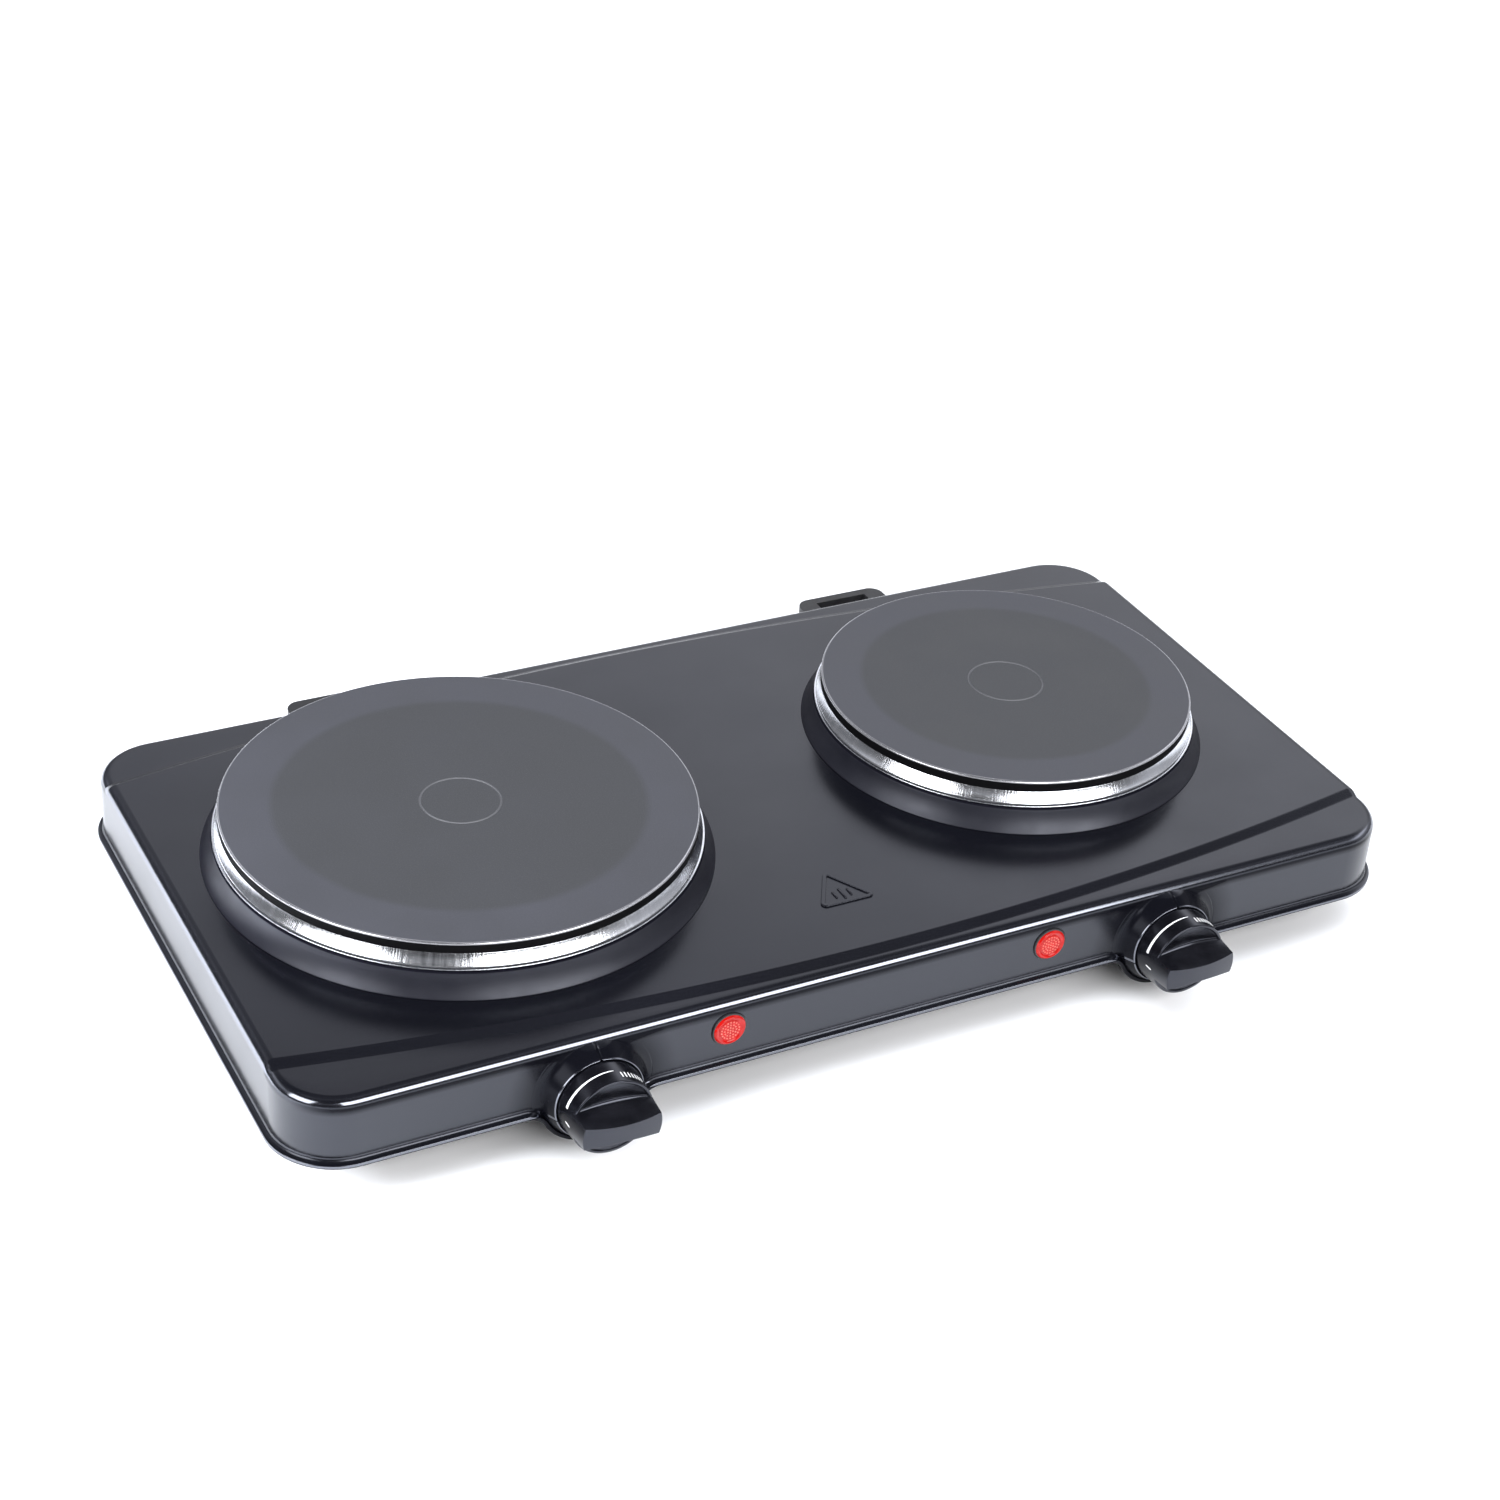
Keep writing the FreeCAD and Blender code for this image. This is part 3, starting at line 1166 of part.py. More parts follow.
def wiring():
    """Feeds from the terminal block to the thermostats and plates, and the earth lead."""
    wire = 1.25
    floor = value(PAN_FLOOR)
    live, neutral, lamp_leads = [], [], []
    for side, sign in (("left", -1), ("right", 1)):
        burner_x = sign * value("burner_spacing") / 2
        knob_x = sign * value("knob_spacing") / 2
        blade_y = value(f"{FRONT} + 4.5") + 27
        pin_y = value(f"{BURNER_Y} + {side}_radius - 40")
        pin_end = value("lift + plate_top - 17")
        blade_z = value(KNOB_AXIS)
        switched = tube(
            f"{side}_switched_wire",
            [
                (knob_x + 9, blade_y, blade_z + 6), (knob_x + 9, -70, blade_z + 6),
                (burner_x + 12, -45, floor + 24), (burner_x + 12, pin_y - 20, floor + 26),
                (burner_x + 7, pin_y, floor + 30), (burner_x + 7, pin_y, pin_end),
            ],
            wire,
        )
        supply = tube(
            f"{side}_supply_wire",
            [
                (sign * 14, 52, floor + 6), (sign * 14, 30, floor + 6), (sign * 40, 5, floor + 5),
                (knob_x - sign * 30, -60, floor + 5), (knob_x - 9, -75, blade_z - 6),
                (knob_x - 9, blade_y, blade_z - 6),
            ],
            wire,
        )
        live += [switched, supply]
        neutral.append(tube(
            f"{side}_neutral_run",
            [
                (sign * 1.2, 52, floor + 6), (sign * 1.2, 38, floor + 6), (sign * 25, 34, floor + 12),
                (burner_x - sign * 40, pin_y - 10, floor + 16), (burner_x - 7, pin_y, floor + 22),
                (burner_x - 7, pin_y, pin_end),
            ],
            1.1,
        ))
        lamp_x = sign * value("lamp_spacing") / 2
        lamp_z = value("lift + lamp_height")
        lamp_y = value(f"{FRONT} + 25.3")
        lamp_leads += [
            tube(
                f"{side}_lamp_lead{number}",
                [
                    (lamp_x + shift, lamp_y, lamp_z), (lamp_x + shift, lamp_y + 4 + 5 * number, lamp_z - 3),
                    (knob_x - sign * 26, lamp_y - 12 + 4 * number, lamp_z - 3 - 4 * number),
                    (knob_x - sign * 15, lamp_y - 12 + 4 * number, lamp_z - 3 - 4 * number),
                ],
                0.8,
            )
            for number, shift in ((1, sign * 2.5), (2, -sign * 2.5))
        ]
    earth = tube(
        "earth_run",
        [
            (14, 68.4, floor + 2.2), (26, 74, floor + 6), (44, 86, floor + 14),
            (60, 98, value("lift + bushing_height")), (60, 109.5, value("lift + bushing_height")),
        ],
        wire,
    )
    node(earth, "earth_wire")
    node(group("live_set", *live), "live_wires")
    node(group("neutral_set", *neutral), "neutral_wires")
    node(group("lamp_lead_set", *lamp_leads), "lamp_leads")


def check_and_write():
    doc.recompute()
    for thing in doc.Objects:
        if "Invalid" in thing.State or "Error" in thing.State:
            raise ValueError(f"{thing.Label} failed: {thing.State}")
    os.makedirs("parts", exist_ok=True)
    for thing in nodes:
        shape = thing.Shape
        if shape.isNull() or not shape.isValid() or not shape.Solids:
            raise ValueError(f"{thing.Label} has no valid solid")
        shape.exportStep(f"parts/{thing.Label}.step")
    print(len(nodes), "nodes")


def main():
    fill_sheet()
    top_housing()
    bottom_cover()
    for side in ("left", "right"):
        burner(side)
    bridge_fasteners()
    for side, x in (("left", "-knob_spacing / 2"), ("right", "knob_spacing / 2")):
        knob(side, x)
        shaft(side, x)
        thermostat(side, x)
    thermostat_screws()
    for side, x in (("left", "-lamp_spacing / 2"), ("right", "lamp_spacing / 2")):
        lamp(side, x)
    for side, x in (("left", "-burner_spacing / 2"), ("right", "burner_spacing / 2")):
        cord_bracket(side, x)
    bracket_screws()
    cord_inlet()
    mains_terminals()
    feet()
    cover_screws()
    wiring()
    check_and_write()


main()
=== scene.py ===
"""Looks of a portable electric hot plate: enamelled steel housing, two cast-iron plates, two knobs."""

import math

import bmesh
import bpy
from mathutils import Matrix, Vector


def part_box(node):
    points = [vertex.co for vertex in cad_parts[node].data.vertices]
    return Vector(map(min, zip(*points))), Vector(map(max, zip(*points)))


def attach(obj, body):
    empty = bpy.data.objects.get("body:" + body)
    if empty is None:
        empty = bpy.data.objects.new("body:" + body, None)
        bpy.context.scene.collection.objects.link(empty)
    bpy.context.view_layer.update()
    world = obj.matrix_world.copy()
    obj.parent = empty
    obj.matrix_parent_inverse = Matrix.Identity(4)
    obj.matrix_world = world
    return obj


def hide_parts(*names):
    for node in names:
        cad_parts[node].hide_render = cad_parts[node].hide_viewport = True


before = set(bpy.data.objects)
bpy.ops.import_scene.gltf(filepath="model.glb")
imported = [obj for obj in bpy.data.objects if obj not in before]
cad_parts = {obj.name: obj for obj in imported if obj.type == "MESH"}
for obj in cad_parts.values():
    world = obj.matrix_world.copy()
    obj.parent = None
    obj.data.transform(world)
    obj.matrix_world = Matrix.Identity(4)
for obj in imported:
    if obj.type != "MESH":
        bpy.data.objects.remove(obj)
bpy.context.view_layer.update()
MM = 0.001
FLOOR_REACH = 60.0
UP = Vector((0, 0, 1))
AHEAD = Vector((0, -1, 0))
SIDES = ("left", "right")


def span(node):
    """Lowest and highest corner of a CAD node, in millimetres."""
    low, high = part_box(node)
    return Vector(low) / MM, Vector(high) / MM


# ---- sizes in millimetres, hung on the CAD nodes ----

HEM_REACH = 2.4
STEEL = 1.0
HALF_DEPTH = 123.0
CORNER = 24.6
EDGE_ROUND = 4.0
RISE = 1.6
CREASE_MIDDLE = 117.5
CREASE_DROP = 21.5
CREASE_WIDTH = 3.7
TAB_RADIUS = 21.5
TAB_FILLET = 8.0
TAB_INSET = 0.8
TAB_TOP = 3.0
WALL_GAP = 0.4
BOSS_BASE = 20.8
BOSS_RIM = 17.5
BOSS_REACH = 6.7
BOSS_BORE = 5.2
CIRCLE_RADIUS = 15.6
TURNING_PITCH = 0.9

housing_high = span("top_housing")[1]
HALF_LENGTH = housing_high.x - HEM_REACH
MIDDLE_Y = housing_high.y - HEM_REACH - HALF_DEPTH
FRONT_Y = MIDDLE_Y - HALF_DEPTH
PANEL_Z = span("right_collar")[0].z
SHOULDER_Z = PANEL_Z - RISE
HEM_Z = SHOULDER_Z - 28.2


def middle(node):
    low, high = span(node)
    return (low + high) / 2


KNOB_AXIS = {side: middle(f"{side}_thermostat_shaft") for side in SIDES}
KNOB_TURN = {"left": math.radians(2.75), "right": math.radians(-1.25)}
LAMP = {side: middle(f"{side}_lamp_lens") for side in SIDES}
PLATE = {side: middle(f"{side}_plate") for side in SIDES}
PLATE_RADIUS = {side: span(f"{side}_plate")[1].x - PLATE[side].x for side in SIDES}
PLATE_TOP = span("left_plate")[1].z
TRIM_FOOT = PLATE_TOP - 10.8


# ---- nodes and objects ----


def add_node(tree, kind, links=(), **settings):
    """Adds a node; links are (input, source) pairs, settings are properties or input values."""
    made = tree.nodes.new(kind)
    for setting, value in settings.items():
        if hasattr(made, setting):
            setattr(made, setting, value)
        else:
            made.inputs[setting.replace("_", " ")].default_value = value
    for socket, source in links:
        tree.links.new(source, made.inputs[socket])
    return made


def map_range(tree, value, start, end, low, high, **settings):
    """Maps start..end of a value onto low..high."""
    made = add_node(tree, "ShaderNodeMapRange", [("Value", value)], **settings)
    for index, number in enumerate((start, end, low, high), start=1):
        made.inputs[index].default_value = number
    return made.outputs[0]


def add_object(name, data):
    """A new object, linked into the scene."""
    thing = bpy.data.objects.new(name, data)
    bpy.context.collection.objects.link(thing)
    return thing


# ---- mesh making ----


class Shape:
    """Points in millimetres and faces, gathered from several shells."""

    def __init__(self):
        self.points = []
        self.faces = []

    def add(self, points, faces):
        start = len(self.points)
        self.points += [Vector(point) for point in points]
        self.faces += [[start + index for index in face] for face in faces]
        return self

    def add_grid(self, rows, close_rows=False, close_columns=False):
        """A sheet of quads over rows of points."""
        start = len(self.points)
        across = len(rows[0])
        self.points += [Vector(point) for row in rows for point in row]
        for r in range(len(rows) if close_rows else len(rows) - 1):
            for c in range(across if close_columns else across - 1):
                here, right = start + r * across, start + (r + 1) % len(rows) * across
                after = (c + 1) % across
                self.faces.append([here + c, here + after, right + after, right + c])
        return self


def piece(name, shape, finish, body, stands_for=(), soften=0.0):
    """Makes the mesh of one piece, with its doubles merged and its faces turned outwards."""
    mesh = bpy.data.meshes.new(name)
    mesh.from_pydata([point * MM for point in shape.points], [], shape.faces)
    work = bmesh.new()
    work.from_mesh(mesh)
    bmesh.ops.remove_doubles(work, verts=work.verts, dist=2e-6)
    bmesh.ops.dissolve_degenerate(work, edges=work.edges, dist=1e-6)
    bmesh.ops.recalc_face_normals(work, faces=work.faces)
    work.to_mesh(mesh)
    work.free()
    return finished(name, mesh, finish, body, stands_for, soften)


def finished(name, mesh, finish, body, stands_for=(), soften=0.0):
    """Puts a mesh on its body with its finish, smooth shading and evened normals."""
    mesh.materials.clear()
    mesh.materials.append(finish)
    mesh.shade_smooth()
    thing = add_object(name, mesh)
    if soften:
        bevel = thing.modifiers.new("soft_edges", "BEVEL")
        bevel.width = soften * MM
        bevel.segments = 3
        bevel.limit_method = "ANGLE"
        bevel.angle_limit = math.radians(28)
        bevel.harden_normals = False
    evened = thing.modifiers.new("evened_normals", "WEIGHTED_NORMAL")
    evened.weight = 80
    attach(thing, body)
    if stands_for:
        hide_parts(*stands_for)
    return thing


def rounded(corners, steps=5, closed=True):
    """Rounds an outline: each corner is (u, v, radius of its rounding)."""
    result = []
    count = len(corners)
    for index, (u, v, radius) in enumerate(corners):
        here = Vector((u, v))
        if not radius or not closed and index in (0, count - 1):
            result.append(here)
            continue
        before = Vector(corners[index - 1][:2]) - here
        after = Vector(corners[(index + 1) % count][:2]) - here
        half = before.angle(after) / 2
        reach = min(radius / math.tan(half), before.length * 0.48, after.length * 0.48)
        radius = reach * math.tan(half)
        start, end = here + before.normalized() * reach, here + after.normalized() * reach
        inward = (before.normalized() + after.normalized()).normalized()
        centre = here + inward * (radius / math.sin(half))
        first, last = start - centre, end - centre
        turn = first.angle_signed(last)
        for step in range(steps + 1):
            spin = Matrix.Rotation(-turn * step / steps, 2)
            result.append(centre + spin @ first)
    return result


def arc_between(start, end, bulge, steps=8):
    """Points between two (u, v) ends along a shallow arc, bulge high to the left of travel."""
    start, end = Vector(start), Vector(end)
    along = end - start
    side = Vector((-along.y, along.x)).normalized()
    points = []
    for k in range(steps + 1):
        share = k / steps
        points.append(start + along * share + side * bulge * (1 - (2 * share - 1) ** 2))
    return points


def lathe(shape, outline, centre, forward=False, steps=256):
    """Turns a closed outline of (radius, height) about an axis that is upright or points forward."""
    rows = []
    for step in range(steps):
        angle = 2 * math.pi * step / steps
        s, c = math.sin(angle), math.cos(angle)
        if forward:
            rows.append([(centre.x + r * s, centre.y - h, centre.z + r * c) for r, h in outline])
        else:
            rows.append([(centre.x + r * c, centre.y + r * s, centre.z + h) for r, h in outline])
    return shape.add_grid(rows, close_rows=True, close_columns=True)


def sweep(shape, path, section):
    """Carries a closed section of (out, up) along a closed path of (point, out way, up way)."""
    rows = [[point + out * a + up * b for a, b in section] for point, out, up in path]
    return shape.add_grid(rows, close_rows=True, close_columns=True)


# ---- finishes ----


class Finish:
    """A node material: a plain shader whose patterns are placed by object coordinates."""

    def __init__(self, name, colour, roughness, **sockets):
        self.material = bpy.data.materials.new(name)
        self.material.use_nodes = True
        self.tree = self.material.node_tree
        self.shader = self.tree.nodes["Principled BSDF"]
        self.shader.inputs["Base Color"].default_value = (*colour, 1)
        self.shader.inputs["Roughness"].default_value = roughness
        for socket, value in sockets.items():
            self.shader.inputs[socket.replace("_", " ")].default_value = value
        self.place = self.node("TexCoord").outputs["Object"]
        self.bump = None

    def node(self, kind, links=(), **settings):
        return add_node(self.tree, f"ShaderNode{kind}", links, **settings)

    def math(self, operation, *values):
        """A sum of any kind over numbers and sockets."""
        made = self.node("Math", operation=operation)
        for index, value in enumerate(values):
            if isinstance(value, (int, float)):
                made.inputs[index].default_value = value
            else:
                self.tree.links.new(value, made.inputs[index])
        return made.outputs[0]

    def minus(self, first, second):
        return self.math("SUBTRACT", first, second)

    def times(self, first, second):
        return self.math("MULTIPLY", first, second)

    def length(self, first, second):
        squares = [self.times(side, side) for side in (first, second)]
        return self.math("SQRT", self.math("ADD", *squares))

    def most(self, first, *others):
        """The largest of several values."""
        for other in others:
            first = self.math("MAXIMUM", first, other)
        return first

    def noise(self, size, detail=3.0, roughness=0.5):
        """Noise whose blotches are about size millimetres across."""
        made = self.node("TexNoise", [("Vector", self.place)], Scale=1 / (size * MM), Detail=detail,
                         Roughness=roughness)
        return made.outputs["Fac"]

    def cells(self, size):
        """Distance from the middles of cells that are about size millimetres across."""
        made = self.node("TexVoronoi", [("Vector", self.place)], Scale=1 / (size * MM))
        return made.outputs["Distance"]

    def spread(self, value, low, high, start=0.3, end=0.7):
        """Maps a pattern's start..end onto low..high."""
        return map_range(self.tree, value, start, end, low, high)

    def mask(self, place, start, end, low=0.0, high=1.0):
        """Runs from low to high between two places, given in millimetres."""
        return self.spread(place, low, high, start * MM, end * MM)

    def blend(self, factor, first, second):
        """Mixes two colours, each a triple or a socket."""
        made = self.node("Mix", data_type="RGBA")
        self.tree.links.new(factor, made.inputs[0])
        for index, colour in ((6, first), (7, second)):
            if isinstance(colour, tuple):
                made.inputs[index].default_value = (*colour, 1)
            else:
                self.tree.links.new(colour, made.inputs[index])
        return made.outputs[2]

    def socket(self, name, source):
        self.tree.links.new(source, self.shader.inputs[name])

    def colour(self, source):
        self.socket("Base Color", source)

    def rough(self, source):
        self.socket("Roughness", source)

    def mottle(self, size, detail, dark, pale):
        """Colours the surface in soft blotches between two colours."""
        self.colour(self.blend(self.spread(self.noise(size, detail), 0, 1), dark, pale))

    def relief(self, source, depth):
        """Adds a bump of a real depth in millimetres, on top of any before it."""
        made = self.node("Bump", [("Height", source)], Distance=depth * MM, Strength=1.0)
        if self.bump:
            self.tree.links.new(self.bump, made.inputs["Normal"])
        self.bump = made.outputs[0]
        self.socket("Normal", self.bump)

    def distance_from(self, centre):
        """Distance from an upright axis, the angle about it and the height, in metres and radians."""
        shift = self.node("Mapping", [("Vector", self.place)],
                          Location=(-centre.x * MM, -centre.y * MM, 0))
        x, y, height = self.node("SeparateXYZ", [("Vector", shift.outputs[0])]).outputs
        return self.length(x, y), self.math("ARCTAN2", y, x), height


def satin_enamel():
    """Blue-black enamel with a faint orange peel, which mirrors the room more in some places.

    The pressed edge, the hem's lip and the rims of the bosses are the brightest; the walls near
    the knobs, the front wall's top band and the hem's underside are the dullest.
    """
    finish = Finish("satin_enamel", (0.003, 0.003, 0.0045), 0.24, Specular_Tint=(0.83, 0.87, 1.0, 1))
    finish.mottle(70, 2, (0.0025, 0.0026, 0.004), (0.0035, 0.0037, 0.0058))
    across, depth, height = finish.node("SeparateXYZ", [("Vector", finish.place)]).outputs

    def on_rounding(start, end, low, high):
        """A mask between two heights, given as shares of the edge's rounding below its top."""
        return finish.mask(height, SHOULDER_Z - start * EDGE_ROUND, SHOULDER_Z - end * EDGE_ROUND,
                           low, high)

    off_axis = [
        finish.length(finish.minus(across, axis.x * MM), finish.minus(height, axis.z * MM))
        for axis in KNOB_AXIS.values()
    ]
    dull = finish.mask(finish.math("MINIMUM", *off_axis), 20, 34, 0.08, 0.6)
    edge_bottom = SHOULDER_Z - EDGE_ROUND
    top_band = finish.mask(height, edge_bottom - 2.6, edge_bottom - 0.2, 0, 0.5)
    in_front = finish.mask(depth, FRONT_Y + 2, FRONT_Y + 12, 1, 0)
    wall = finish.minus(dull, finish.times(top_band, in_front))

    on_top = on_rounding(0.85, 0.7, 0, 0.6)
    pressed_edge = finish.times(on_rounding(0.65, 0.5, 0, 1), on_rounding(0.13, 0.06, 1, 0))
    over_hem = finish.mask(height, HEM_Z - 0.2, HEM_Z, 0, 0.85)
    hem_lip = finish.times(over_hem, finish.mask(height, HEM_Z + 1.5, HEM_Z + 1.7, 1, 0))
    boss_front = FRONT_Y - BOSS_REACH
    boss_rim = finish.mask(depth, boss_front + 0.35, boss_front + 0.6, 1, 0)
    edge = finish.most(pressed_edge, hem_lip, boss_rim)

    above_underside = finish.mask(height, HEM_Z + 0.4, HEM_Z + 0.55)
    on_tabs = finish.mask(height, HEM_Z - 0.2, HEM_Z, 1, 0)
    shine = finish.most(wall, 0.04, on_top, edge)
    finish.socket("Specular IOR Level",
                  finish.times(shine, finish.most(above_underside, on_tabs)))
    finish.socket("IOR", finish.math("ADD", finish.times(edge, 0.4), 1.5))
    satin = finish.spread(finish.noise(40, 3), 0.22, 0.26)
    finish.rough(finish.minus(satin, finish.times(edge, 0.1)))
    finish.relief(finish.noise(3.0, 1), 0.0012)
    return finish.material


def black_enamel():
    """The collars' enamel, which reflects nothing in the shadow line right under the trim."""
    finish = Finish("black_enamel", (0.006, 0.006, 0.009), 0.36, Specular_IOR_Level=0.5,
                    Specular_Tint=(0.85, 0.88, 1.0, 1))
    finish.mottle(25, 4, (0.005, 0.005, 0.008), (0.0075, 0.0076, 0.0115))
    height = finish.node("SeparateXYZ", [("Vector", finish.place)]).outputs[2]
    finish.socket("Specular IOR Level",
                  finish.mask(height, TRIM_FOOT - 1.0, TRIM_FOOT - 0.8, 0.5, 0.0))
    finish.rough(finish.spread(finish.noise(8, 4), 0.34, 0.42))
    finish.relief(finish.noise(0.4, 2), 0.006)
    return finish.material


def stamped_base():
    """The base's thinner enamel, with a faint drawing texture and dust."""
    finish = Finish("stamped_base", (0.03, 0.03, 0.033), 0.42)
    dust = finish.noise(9, 8, 0.65)
    finish.colour(finish.blend(finish.spread(dust, 0, 1, 0.45, 0.8), (0.024, 0.025, 0.028),
                               (0.06, 0.06, 0.062)))
    finish.rough(finish.spread(dust, 0.36, 0.55))
    finish.relief(finish.noise(1.2, 3), 0.01)
    return finish.material


def cast_plate(side):
    """Blackened cast iron: faint turning lines, a paler outer band that is partly painted reflection,
    a scribed circle, a worn rim that is partly a painted highlight, and a side darkened with painted
    shade.
    """
    finish = Finish(f"{side}_cast_plate", (0.06, 0.061, 0.066), 0.5, Specular_IOR_Level=0.45)
    plate_radius = PLATE_RADIUS[side]
    radius, _, height = finish.distance_from(PLATE[side])
    share = finish.math("DIVIDE", radius, plate_radius * MM)
    # The paler outer band is partly the iron's own tone and partly a painted reflection, standing in
    # for the slight dish of the outer ring, which the plate's shape doesn't have.
    outer_band = finish.spread(share, 0, 1, 0.765, 0.80)
    speck = finish.noise(0.5, 4, 0.7)
    cloud = finish.noise(30, 4)
    blotches = finish.spread(cloud, 0, 1)
    inner = finish.blend(blotches, (0.027, 0.028, 0.031), (0.032, 0.033, 0.037))
    outer = finish.blend(blotches, (0.034, 0.035, 0.042), (0.041, 0.042, 0.051))
    tone_and_sheen_band = finish.blend(outer_band, inner, outer)

    face = finish.mask(height, PLATE_TOP - 1.0, PLATE_TOP - 0.5)
    off_circle = finish.math("ABSOLUTE", finish.minus(radius, CIRCLE_RADIUS * MM))
    line = finish.mask(off_circle, 0.2, 0.55, 0.75, 0)
    scribed = finish.blend(line, tone_and_sheen_band, (0.14, 0.14, 0.15))
    # Painted shade: below the top face the plate's side is coloured near black, standing in for the
    # shade on it.
    base = finish.blend(face, (0.003, 0.003, 0.0035), scribed)
    grit = finish.times(finish.spread(speck, 0, 0.35, 0.5, 0.75), face)
    speckled = finish.blend(grit, base, (0.1, 0.1, 0.108))

    # The rim is partly real wear and partly a painted highlight: it is made pale, metallic and
    # smoother so that it shows as a bright line.
    rim = finish.mask(radius, plate_radius - 0.8, plate_radius - 0.55)
    worn_and_highlight_edge = finish.times(rim, face)
    finish.colour(finish.blend(worn_and_highlight_edge, speckled, (0.5, 0.5, 0.53)))
    finish.socket("Metallic", finish.times(worn_and_highlight_edge, 0.9))
    # The side's weak reflection is part of the painted shade on it.
    finish.socket("Specular IOR Level", finish.spread(face, 0.06, 0.45, 0, 1))
    satin = finish.spread(cloud, 0.44, 0.54)
    polish = finish.times(finish.minus(satin, 0.22), worn_and_highlight_edge)
    finish.rough(finish.minus(satin, polish))
    turning = finish.times(radius, 2 * math.pi / (TURNING_PITCH * MM))
    finish.relief(finish.math("SINE", turning), 0.0025)
    finish.relief(speck, 0.02)
    return finish.material


def bright_trim(side):
    """Rolled stainless with fine polishing streaks across the ring, and painted shade in its groove.
    """
    steel, groove_shade = (0.78, 0.8, 0.85), (0.02, 0.02, 0.024)
    finish = Finish(f"{side}_bright_trim", steel, 0.16, Metallic=1.0)
    radius, angle, height = finish.distance_from(PLATE[side])
    across = finish.node("CombineXYZ", [
        ("X", finish.times(angle, 110.0)), ("Y", finish.times(height, 120.0)),
        ("Z", finish.times(radius, 60.0)),
    ])
    streaks = finish.node("TexNoise", [("Vector", across.outputs[0])], Scale=1.0, Detail=4.0)
    around = finish.node("CombineXYZ", [("X", finish.times(angle, 2.0))])
    patches = finish.node("TexNoise", [("Vector", around.outputs[0])], Scale=1.5)
    # Painted shade: the groove's band is coloured near black and made non-metallic, for the shade that
    # falls in the recess.
    groove = finish.times(finish.mask(height, TRIM_FOOT + 0.72, TRIM_FOOT + 0.84),
                          finish.mask(height, TRIM_FOOT + 1.26, TRIM_FOOT + 1.38, 1, 0))
    finish.colour(finish.blend(groove, steel, groove_shade))
    finish.socket("Metallic", finish.minus(1.0, groove))
    finish.rough(finish.math("ADD", finish.spread(streaks.outputs["Fac"], 0.08, 0.18),
                             finish.spread(patches.outputs["Fac"], 0.02, 0.12)))
    finish.relief(streaks.outputs["Fac"], 0.06)
    return finish.material


def knob_black():
    """Glossy moulded plastic with a cool tint to its reflections."""
    finish = Finish("knob_black", (0.003, 0.003, 0.004), 0.16, Specular_IOR_Level=0.55,
                    Specular_Tint=(0.8, 0.84, 1.0, 1))
    finish.mottle(6, 4, (0.002, 0.002, 0.003), (0.004, 0.004, 0.0055))
    finish.rough(finish.spread(finish.noise(3, 5), 0.14, 0.22))
    finish.relief(finish.noise(1.4, 2), 0.004)
    return finish.material


def dial_print():
    finish = Finish("dial_print", (0.85, 0.85, 0.85), 0.4)
    finish.mottle(0.5, 3, (0.8, 0.8, 0.8), (0.92, 0.92, 0.92))
    return finish.material


def lamp_red():
    """Clear red plastic with a faint painted glow, standing in for light coming through it."""
    # Painted light: the emission stands in for light passing through the plastic.
    finish = Finish("lamp_red", (0.3, 0.004, 0.003), 0.12, Specular_IOR_Level=0.25, Coat_Weight=0.15,
                    Emission_Color=(0.9, 0.012, 0.005, 1), Emission_Strength=0.3)
    finish.mottle(2.2, 3, (0.16, 0.0015, 0.0012), (0.3, 0.004, 0.003))
    finish.relief(finish.noise(1.0, 2), 0.01)
    return finish.material


def lamp_facet():
    """The pips that the lens's middle is moulded with, painted paler than the lens and given a glow: a
    painted highlight standing in for the light they catch.
    """
    # Painted light: the pale colour and the emission stand in for light caught in the pips.
    finish = Finish("lamp_facet", (0.4, 0.12, 0.1), 0.15, Specular_IOR_Level=0.5,
                    Emission_Color=(1.0, 0.16, 0.1, 1), Emission_Strength=0.5)
    finish.mottle(1.5, 3, (0.25, 0.04, 0.03), (0.4, 0.1, 0.08))
    return finish.material


def moulded_black():
    finish = Finish("moulded_black", (0.012, 0.012, 0.013), 0.42)
    finish.mottle(8, 4, (0.009, 0.009, 0.01), (0.018, 0.018, 0.02))
    finish.rough(finish.spread(finish.noise(0.8, 3), 0.36, 0.5))
    finish.relief(finish.noise(0.4, 2), 0.008)
    return finish.material


def foot_rubber():
    finish = Finish("foot_rubber", (0.018, 0.018, 0.018), 0.75)
    finish.mottle(3, 6, (0.012, 0.012, 0.012), (0.035, 0.034, 0.033))
    finish.relief(finish.noise(0.6, 4), 0.03)
    return finish.material


def plated_steel():
    finish = Finish("plated_steel", (0.6, 0.61, 0.63), 0.32, Metallic=1.0)
    finish.mottle(4, 5, (0.5, 0.51, 0.53), (0.68, 0.69, 0.7))
    finish.rough(finish.spread(finish.noise(0.7, 4), 0.25, 0.42))
    finish.relief(finish.noise(0.5, 3), 0.006)
    return finish.material


def galvanised():
    """Zinc sheet with its crystal spangle."""
    finish = Finish("galvanised", (0.55, 0.57, 0.58), 0.4, Metallic=1.0)
    spangle = finish.cells(6)
    finish.colour(finish.blend(spangle, (0.48, 0.5, 0.51), (0.66, 0.67, 0.68)))
    finish.rough(finish.spread(spangle, 0.32, 0.5, 0, 0.8))
    return finish.material


def sheath_metal():
    """The elements' sheath, browned unevenly by heat."""
    finish = Finish("sheath_metal", (0.25, 0.23, 0.2), 0.45, Metallic=1.0)
    heat = finish.noise(18, 4)
    finish.colour(finish.blend(finish.spread(heat, 0, 1), (0.16, 0.14, 0.13), (0.34, 0.3, 0.24)))
    finish.rough(finish.spread(heat, 0.38, 0.55))
    return finish.material


